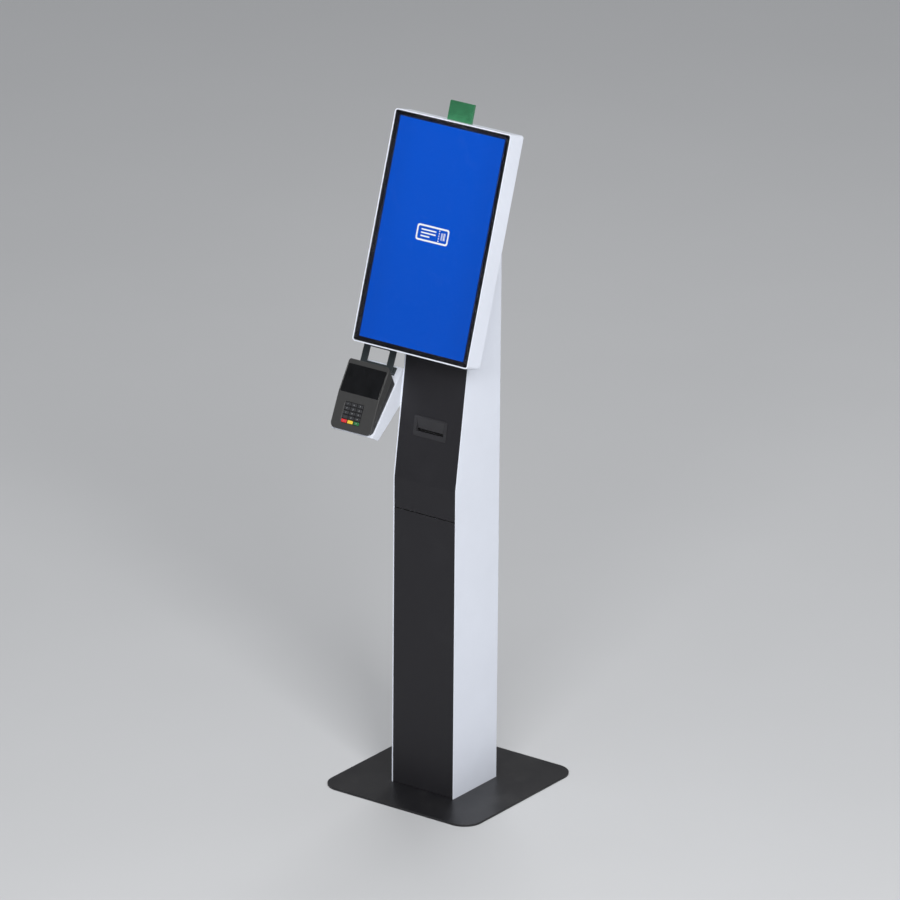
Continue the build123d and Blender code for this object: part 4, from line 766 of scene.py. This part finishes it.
class MACHINE_OT_display(bpy.types.Operator):
    """Lights the display, blacks out its border and glazes it"""

    bl_idname = "ticket_machine.display"
    bl_label = "Light Display"

    def execute(self, context):
        colours = context.scene.ticket_machine_colours
        sizes = context.scene.ticket_machine_sizes
        dress(("display_panel",), lcd_material(colours.screen_blue))

        border, tree, shader = new_material("Printed border", {"Specular IOR Level": 0.3})
        connect_smudges(tree, shader, 0.40, {"Amount": 0.15})
        grain = map_range(tree, noise(tree, 1800.0), 0.6, 0.75)
        fleck = mix_colour(tree, grain, (0.022, 0.020, 0.026), (0.031, 0.029, 0.036))
        tree.links.new(fleck, shader.inputs["Base Color"])
        dress(("display_mask",), border)

        glass, tree, shader = new_material("Touch glass", {
            "Base Color": (0.97, 0.98, 0.98, 1.0), "Transmission Weight": 1.0, "IOR": 1.38,
        })
        connect_smudges(tree, shader, 0.02, {"Amount": 0.07, "Scale": 26.0})
        dress(("display_glass",), glass)

        white, tree, shader = new_material(
            "Screen white", {"Base Color": (0.02, 0.02, 0.02, 1.0), "Emission Strength": 1.0}
        )
        glow = map_range(tree, noise(tree, DOT_SCALE, 1.0), 0.2, 0.8, 0.90, 0.98)
        colour = add_node(tree, "ShaderNodeCombineColor")
        for channel in colour.inputs:
            tree.links.new(glow, channel)
        tree.links.new(colour.outputs[0], shader.inputs["Emission Color"])
        symbol = ticket_symbol(sizes.symbol_width)
        add_piece("screen_symbol", symbol, "frame", white)
        return {"FINISHED"}


class MACHINE_OT_beacon(bpy.types.Operator):
    """Makes the status beacon's glowing acrylic, its socket and its board"""

    bl_idname = "ticket_machine.beacon"
    bl_label = "Light Beacon"

    def execute(self, context):
        green = context.scene.ticket_machine_colours.beacon_green
        acrylic, tree, shader = new_material("Beacon acrylic", {
            "Transmission Weight": 0.45, "IOR": 1.49, "Emission Strength": 0.22,
        })
        place = add_node(tree, "ShaderNodeTexCoord").outputs["Object"]
        parts = add_node(tree, "ShaderNodeSeparateXYZ")
        tree.links.new(place, parts.inputs[0])
        # Brightest just above the socket, where the light comes in, with a soft cloud through it
        rise = map_range(tree, parts.outputs["Z"], *BEACON_HEIGHTS, 1.15, 0.80, smooth=True)
        cloud = map_range(tree, noise(tree, 42.0, 3.0), 0.3, 0.7, 0.86, 1.14)
        level = math_node(tree, "MULTIPLY", rise, cloud)
        tint = {"Vector": tuple(green)[:3]}
        shade = add_node(tree, "ShaderNodeVectorMath", {"operation": "SCALE"}, tint)
        tree.links.new(level, shade.inputs["Scale"])
        tree.links.new(shade.outputs[0], shader.inputs["Base Color"])
        tree.links.new(shade.outputs[0], shader.inputs["Emission Color"])
        connect_smudges(tree, shader, 0.16, {"Amount": 0.04, "Scale": 60.0})
        edge = use_group(tree, "Eased edge", {"Radius": 0.0010, "Wear": 0.0})
        tree.links.new(edge.outputs["Normal"], shader.inputs["Normal"])
        dress(("beacon_plate",), acrylic)
        socket = plastic_material("Socket black", (0.018, 0.018, 0.020), 0.5, 0.0005)
        dress(("beacon_socket",), socket)
        board = plastic_material("Circuit board", (0.02, 0.16, 0.06), 0.35, 0.0012)
        dress(("beacon_led_strip", "keypad_board"), board)
        return {"FINISHED"}


def paper_material():
    """Wound thermal paper: rings on the ends, faint fibres on the outside."""
    material, tree, shader = new_material(
        "Thermal paper", {"Roughness": 0.55, "Specular IOR Level": 0.4}
    )
    place = add_node(tree, "ShaderNodeTexCoord").outputs["Object"]
    parts = add_node(tree, "ShaderNodeSeparateXYZ")
    tree.links.new(place, parts.inputs[0])
    middle = Vector([(low + high) / 2 for low, high in zip(*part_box("paper_roll"))])
    y = math_node(tree, "SUBTRACT", parts.outputs["Y"], middle.y)
    z = math_node(tree, "SUBTRACT", parts.outputs["Z"], middle.z)
    squares = [math_node(tree, "MULTIPLY", side, side) for side in (y, z)]
    radius = math_node(tree, "SQRT", math_node(tree, "ADD", *squares))
    winding = math_node(tree, "SINE", math_node(tree, "MULTIPLY", radius, WINDING_SCALE))
    rings = map_range(tree, winding, -1.0, 1.0, 0.0, 1.0)
    fibre = noise(tree, 1.0, 3.0, 0.6, (160.0, 900.0, 900.0))
    ringed = math_node(tree, "MULTIPLY", rings, 0.18)
    shade = math_node(tree, "ADD", ringed, math_node(tree, "MULTIPLY", fibre, 0.12))
    coloured = mix_colour(tree, shade, (0.88, 0.88, 0.86), (0.66, 0.66, 0.65))
    tree.links.new(coloured, shader.inputs["Base Color"])
    connect_bump(tree, shader, fibre, PAPER_RELIEF, 0.3)
    return material


def board_material():
    """Brown cardboard of the roll's core."""
    material, tree, shader = new_material(
        "Core board", {"Roughness": 0.85, "Specular IOR Level": 0.2}
    )
    fibre = noise(tree, 1.0, 4.0, 0.65, (300.0, 1200.0, 1200.0))
    blot = noise(tree, 120.0, 4.0)
    fibrous = math_node(tree, "MULTIPLY", fibre, 0.6)
    both = math_node(tree, "ADD", fibrous, math_node(tree, "MULTIPLY", blot, 0.4))
    coloured = mix_colour(tree, both, (0.42, 0.31, 0.20), (0.25, 0.18, 0.11))
    tree.links.new(coloured, shader.inputs["Base Color"])
    connect_bump(tree, shader, fibre, BOARD_RELIEF, 0.5)
    return material


class MACHINE_OT_printer(bpy.types.Operator):
    """Finishes the receipt printer, its bezel, its platen and the paper roll"""

    bl_idname = "ticket_machine.printer"
    bl_label = "Finish Printer"

    def execute(self, context):
        bezel = plastic_material("Bezel black", (0.020, 0.0195, 0.0225), 0.36, 0.0006, 0.08, 0.0016)
        dress(("printer_bezel",), bezel)
        rubber = plastic_material("Platen rubber", (0.022, 0.022, 0.022), 0.62, 0.0003)
        dress(("platen_roller",), rubber)
        dress(("paper_roll",), paper_material())
        dress(("roll_core",), board_material())
        return {"FINISHED"}


class MACHINE_OT_interior(bpy.types.Operator):
    """Finishes the fan, the mains inlet and its rocker"""

    bl_idname = "ticket_machine.interior"
    bl_label = "Finish Interior"

    def execute(self, context):
        fan = plastic_material("Fan black", (0.014, 0.014, 0.015), 0.48, 0.0006)
        dress(("fan_frame", "fan_rotor"), fan)
        inlet = plastic_material("Inlet black", (0.016, 0.016, 0.017), 0.42, 0.0005)
        dress(("power_inlet",), inlet)
        rocker = plastic_material("Rocker black", (0.020, 0.020, 0.021), 0.22, 0.0008)
        dress(("power_rocker",), rocker)
        return {"FINISHED"}


def key_legend(name, words, spot, height, body, material):
    """A generic character on the top of one key."""
    matrix = KEY_PLANE @ Matrix.Translation((spot[0], spot[1], 0))
    mesh_data = text_mesh(name, words, height, matrix, LEGEND_LIFT, LEGEND_DEPTH)
    add_piece(name, mesh_data, body, material)


def keypad_shade_lattice():
    """A thin near-black sheet that fills the keypad's pocket between the keys, as painted shade in
    the recess.
    """
    half_width, half_height = LATTICE_HOLE[0] / 2, LATTICE_HOLE[1] / 2
    across = [KEYPAD_X - LATTICE_WIDTH / 2]
    for x, _ in KEY_SPOTS[:KEY_COLUMNS]:
        across += [x - half_width, x + half_width]
    across.append(KEYPAD_X + LATTICE_WIDTH / 2)
    middle = KEYPAD_F - KEY_PITCH_F / 2
    along = [middle - LATTICE_LENGTH / 2]
    for _, y in KEY_SPOTS[::-KEY_COLUMNS]:
        along += [y - half_height, y + half_height]
    along.append(middle + LATTICE_LENGTH / 2)
    # Odd rows and columns of this grid are the keys' openings
    form = bmesh.new()
    layers = [
        [[form.verts.new((x, y, height)) for x in across] for y in along]
        for height in (LATTICE_LOW, LATTICE_HIGH)
    ]

    def filled(row, column):
        inside = 0 <= row < len(along) - 1 and 0 <= column < len(across) - 1
        return inside and not (row % 2 == 1 and column % 2 == 1)

    for row in range(len(along) - 1):
        for column in range(len(across) - 1):
            if not filled(row, column):
                continue
            corners = ((row, column), (row, column + 1), (row + 1, column + 1), (row + 1, column))
            for layer in layers:
                form.faces.new([layer[y][x] for y, x in corners])
            neighbours = (
                (row - 1, column), (row, column + 1), (row + 1, column), (row, column - 1)
            )
            for side, neighbour in enumerate(neighbours):
                if filled(*neighbour):
                    continue
                (y1, x1), (y2, x2) = corners[side], corners[(side + 1) % 4]
                low, high = layers
                form.faces.new([low[y1][x1], low[y2][x2], high[y2][x2], high[y1][x1]])
    return mesh_from("keypad_surround", form, KEY_PLANE)


class MACHINE_OT_terminal(bpy.types.Operator):
    """Finishes the payment terminal's shells, screen and keys, paints the shade in the keypad's
    pocket, and prints the keys' legends
    """

    bl_idname = "ticket_machine.terminal"
    bl_label = "Finish Terminal"

    def execute(self, context):
        colours = context.scene.ticket_machine_colours
        sizes = context.scene.ticket_machine_sizes
        shell = plastic_material(
            "Terminal charcoal", colours.terminal_charcoal, 0.46, 0.0005, 0.14, 0.0030
        )
        dress(("terminal_upper_shell",), shell)
        base = plastic_material("Terminal base", (0.020, 0.020, 0.021), 0.44, 0.0005, 0.10, 0.0030)
        dress(("terminal_lower_shell",), base)

        gloss, tree, shader = new_material("Terminal screen", {
            "Specular IOR Level": 0.4, "Coat Weight": 0.25, "Coat Roughness": 0.05,
        })
        connect_smudges(tree, shader, 0.08, {"Amount": 0.12, "Scale": 55.0})
        cloud = map_range(tree, noise(tree, 30.0), 0.3, 0.7)
        tint = mix_colour(tree, cloud, (0.0065, 0.0068, 0.0075), (0.010, 0.0103, 0.0115))
        tree.links.new(tint, shader.inputs["Base Color"])
        edge = use_group(tree, "Eased edge", {"Radius": 0.0012, "Wear": 0.0})
        tree.links.new(edge.outputs["Normal"], shader.inputs["Normal"])
        dress(("terminal_screen",), gloss)

        dress(GREY_KEYS, plastic_material("Key grey", (0.030, 0.031, 0.034), 0.55, 0.0004, 0.2))
        dress(("key_cancel",), plastic_material("Key red", (0.66, 0.032, 0.036), 0.48, 0.0004, 0.2))
        dress(("key_clear",), plastic_material("Key yellow", (0.82, 0.55, 0.05), 0.48, 0.0004, 0.2))
        dress(("key_enter",), plastic_material("Key green", (0.025, 0.15, 0.05), 0.48, 0.0004, 0.2))
        # Near-black sheet between the keys: painted shade in the keypad's pocket
        pocket_shade = plastic_material(
            "Keypad black", (0.007, 0.007, 0.008), 0.5, 0.0004, 0.05, 0.0002
        )
        add_piece("keypad_surround", keypad_shade_lattice(), "frame", pocket_shade)
        ink = plastic_material("Legend ink", (0.38, 0.39, 0.40), 0.5, 0.0008, 0.1, 0.0001)
        for name, words, spot in zip(ALL_KEYS, LEGENDS, KEY_SPOTS):
            key_legend("legend_" + name, words, spot, sizes.legend_height, name, ink)
        return {"FINISHED"}


def studio_paint(studio):
    """Matt floor paint, painted paler far out as painted light where only the ceiling lights the
    floor.
    """
    paint, tree, shader = new_material(
        "Studio paint", {"Roughness": 0.85, "Specular IOR Level": 0.2}
    )
    pale = tuple(studio.floor_colour)
    cloud = map_range(tree, noise(tree, 1.2, 3.0), 0.3, 0.7)
    near = mix_colour(tree, cloud, pale, tuple(value * 0.98 for value in pale))
    reach = add_node(tree, "ShaderNodeVectorMath", {"operation": "LENGTH"})
    tree.links.new(add_node(tree, "ShaderNodeTexCoord").outputs["Object"], reach.inputs[0])
    # Painted light: the floor turns paler far out, where the lamps don't reach
    far = map_range(tree, reach.outputs["Value"], *FLOOR_LIGHT_FADE, smooth=True)
    coloured = mix_colour(tree, far, near, tuple(studio.far_floor_painted_light))
    tree.links.new(coloured, shader.inputs["Base Color"])
    return paint


def studio_floor():
    """A round flat floor, wide enough for every side view."""
    form = bmesh.new()
    rings = [
        [
            form.verts.new((radius * math.cos(turn), radius * math.sin(turn), 0))
            for turn in FLOOR_TURNS
        ]
        for radius in FLOOR_RADII
    ]
    form.faces.new(rings[0])
    for inner, outer in zip(rings, rings[1:]):
        for index in range(FLOOR_CORNERS):
            after = (index + 1) % FLOOR_CORNERS
            face = form.faces.new((inner[index], outer[index], outer[after], inner[after]))
            face.smooth = True
    return mesh_from("studio_floor", form, Matrix.Identity(4))


def studio_air(studio):
    """A dim room with a broad bright ceiling, so that the glossy screens stay dark."""
    world = bpy.data.worlds.new("Studio air")
    world.use_nodes = True
    tree = world.node_tree
    parts = add_node(tree, "ShaderNodeSeparateXYZ")
    tree.links.new(add_node(tree, "ShaderNodeTexCoord").outputs["Generated"], parts.inputs[0])
    height = parts.outputs["Z"]
    ceiling = map_range(
        tree, height, *CEILING_HEIGHTS, studio.room_light, studio.ceiling_light, smooth=True
    )
    horizon = map_range(tree, height, *HORIZON_HEIGHTS, studio.horizon_light, 0.0, smooth=True)
    air = tree.nodes["Background"]
    air.inputs["Color"].default_value = (0.95, 0.97, 1.0, 1.0)
    tree.links.new(math_node(tree, "MAXIMUM", ceiling, horizon), air.inputs["Strength"])
    return world


class MACHINE_OT_studio(bpy.types.Operator):
    """Sets the floor, the soft lights and the camera"""

    bl_idname = "ticket_machine.studio"
    bl_label = "Set Studio"

    def execute(self, context):
        studio = context.scene.ticket_machine_studio
        scene = context.scene
        floor = bpy.data.objects.new("studio_floor", studio_floor())
        floor.data.materials.append(studio_paint(studio))
        scene.collection.objects.link(floor)
        scene.world = studio_air(studio)

        for name, (place, aim, size) in LIGHTS.items():
            lamp = bpy.data.lights.new(name + "_light", "AREA")
            lamp.shape = "RECTANGLE"
            lamp.size, lamp.size_y = size
            lamp.energy = getattr(studio, name + "_power")
            holder = bpy.data.objects.new(name + "_light", lamp)
            scene.collection.objects.link(holder)
            holder.location = place
            towards = Vector(aim) - Vector(place)
            holder.rotation_euler = towards.to_track_quat("-Z", "Y").to_euler()

        eye = bpy.data.cameras.new("view_camera")
        eye.sensor_width = SENSOR_WIDTH
        eye.lens = studio.lens
        eye.clip_end = FARTHEST_VIEW
        viewer = bpy.data.objects.new("view_camera", eye)
        scene.collection.objects.link(viewer)
        turn = Matrix((CAMERA_RIGHT, CAMERA_UP, CAMERA_BACK)).transposed().to_4x4()
        viewer.matrix_world = Matrix.Translation(CAMERA_PLACE) @ turn
        scene.camera = viewer
        scene.view_settings.view_transform = "Standard"
        return {"FINISHED"}


OPERATORS = (
    MACHINE_OT_sheet_steel,
    MACHINE_OT_metal,
    MACHINE_OT_display,
    MACHINE_OT_beacon,
    MACHINE_OT_printer,
    MACHINE_OT_interior,
    MACHINE_OT_terminal,
    MACHINE_OT_studio,
)


class MACHINE_PT_panel(bpy.types.Panel):
    """Lists the ticket machine's settings and steps"""

    bl_label = "Ticket Machine"
    bl_idname = "MACHINE_PT_panel"
    bl_space_type = "VIEW_3D"
    bl_region_type = "UI"
    bl_category = "Ticket Machine"

    def draw(self, context):
        for group in SETTINGS:
            box = self.layout.box()
            holder = getattr(context.scene, group)
            for name in holder.bl_rna.properties.keys():
                if name not in ("rna_type", "name"):
                    box.prop(holder, name)
        for operator in OPERATORS:
            self.layout.operator(operator.bl_idname)


SETTINGS = {
    "ticket_machine_colours": MachineColours,
    "ticket_machine_sizes": MachineSizes,
    "ticket_machine_studio": MachineStudio,
}


def register():
    for group in SETTINGS.values():
        bpy.utils.register_class(group)
    for name, group in SETTINGS.items():
        setattr(bpy.types.Scene, name, PointerProperty(type=group))
    for operator in OPERATORS:
        bpy.utils.register_class(operator)
    bpy.utils.register_class(MACHINE_PT_panel)


def unregister():
    bpy.utils.unregister_class(MACHINE_PT_panel)
    for operator in reversed(OPERATORS):
        bpy.utils.unregister_class(operator)
    for name in SETTINGS:
        delattr(bpy.types.Scene, name)
    for group in reversed(list(SETTINGS.values())):
        bpy.utils.unregister_class(group)


def main():
    """Finishes the whole machine."""
    register()
    for operator in OPERATORS:
        group, step = operator.bl_idname.split(".")
        getattr(getattr(bpy.ops, group), step)()


if __name__ == "__main__":
    main()
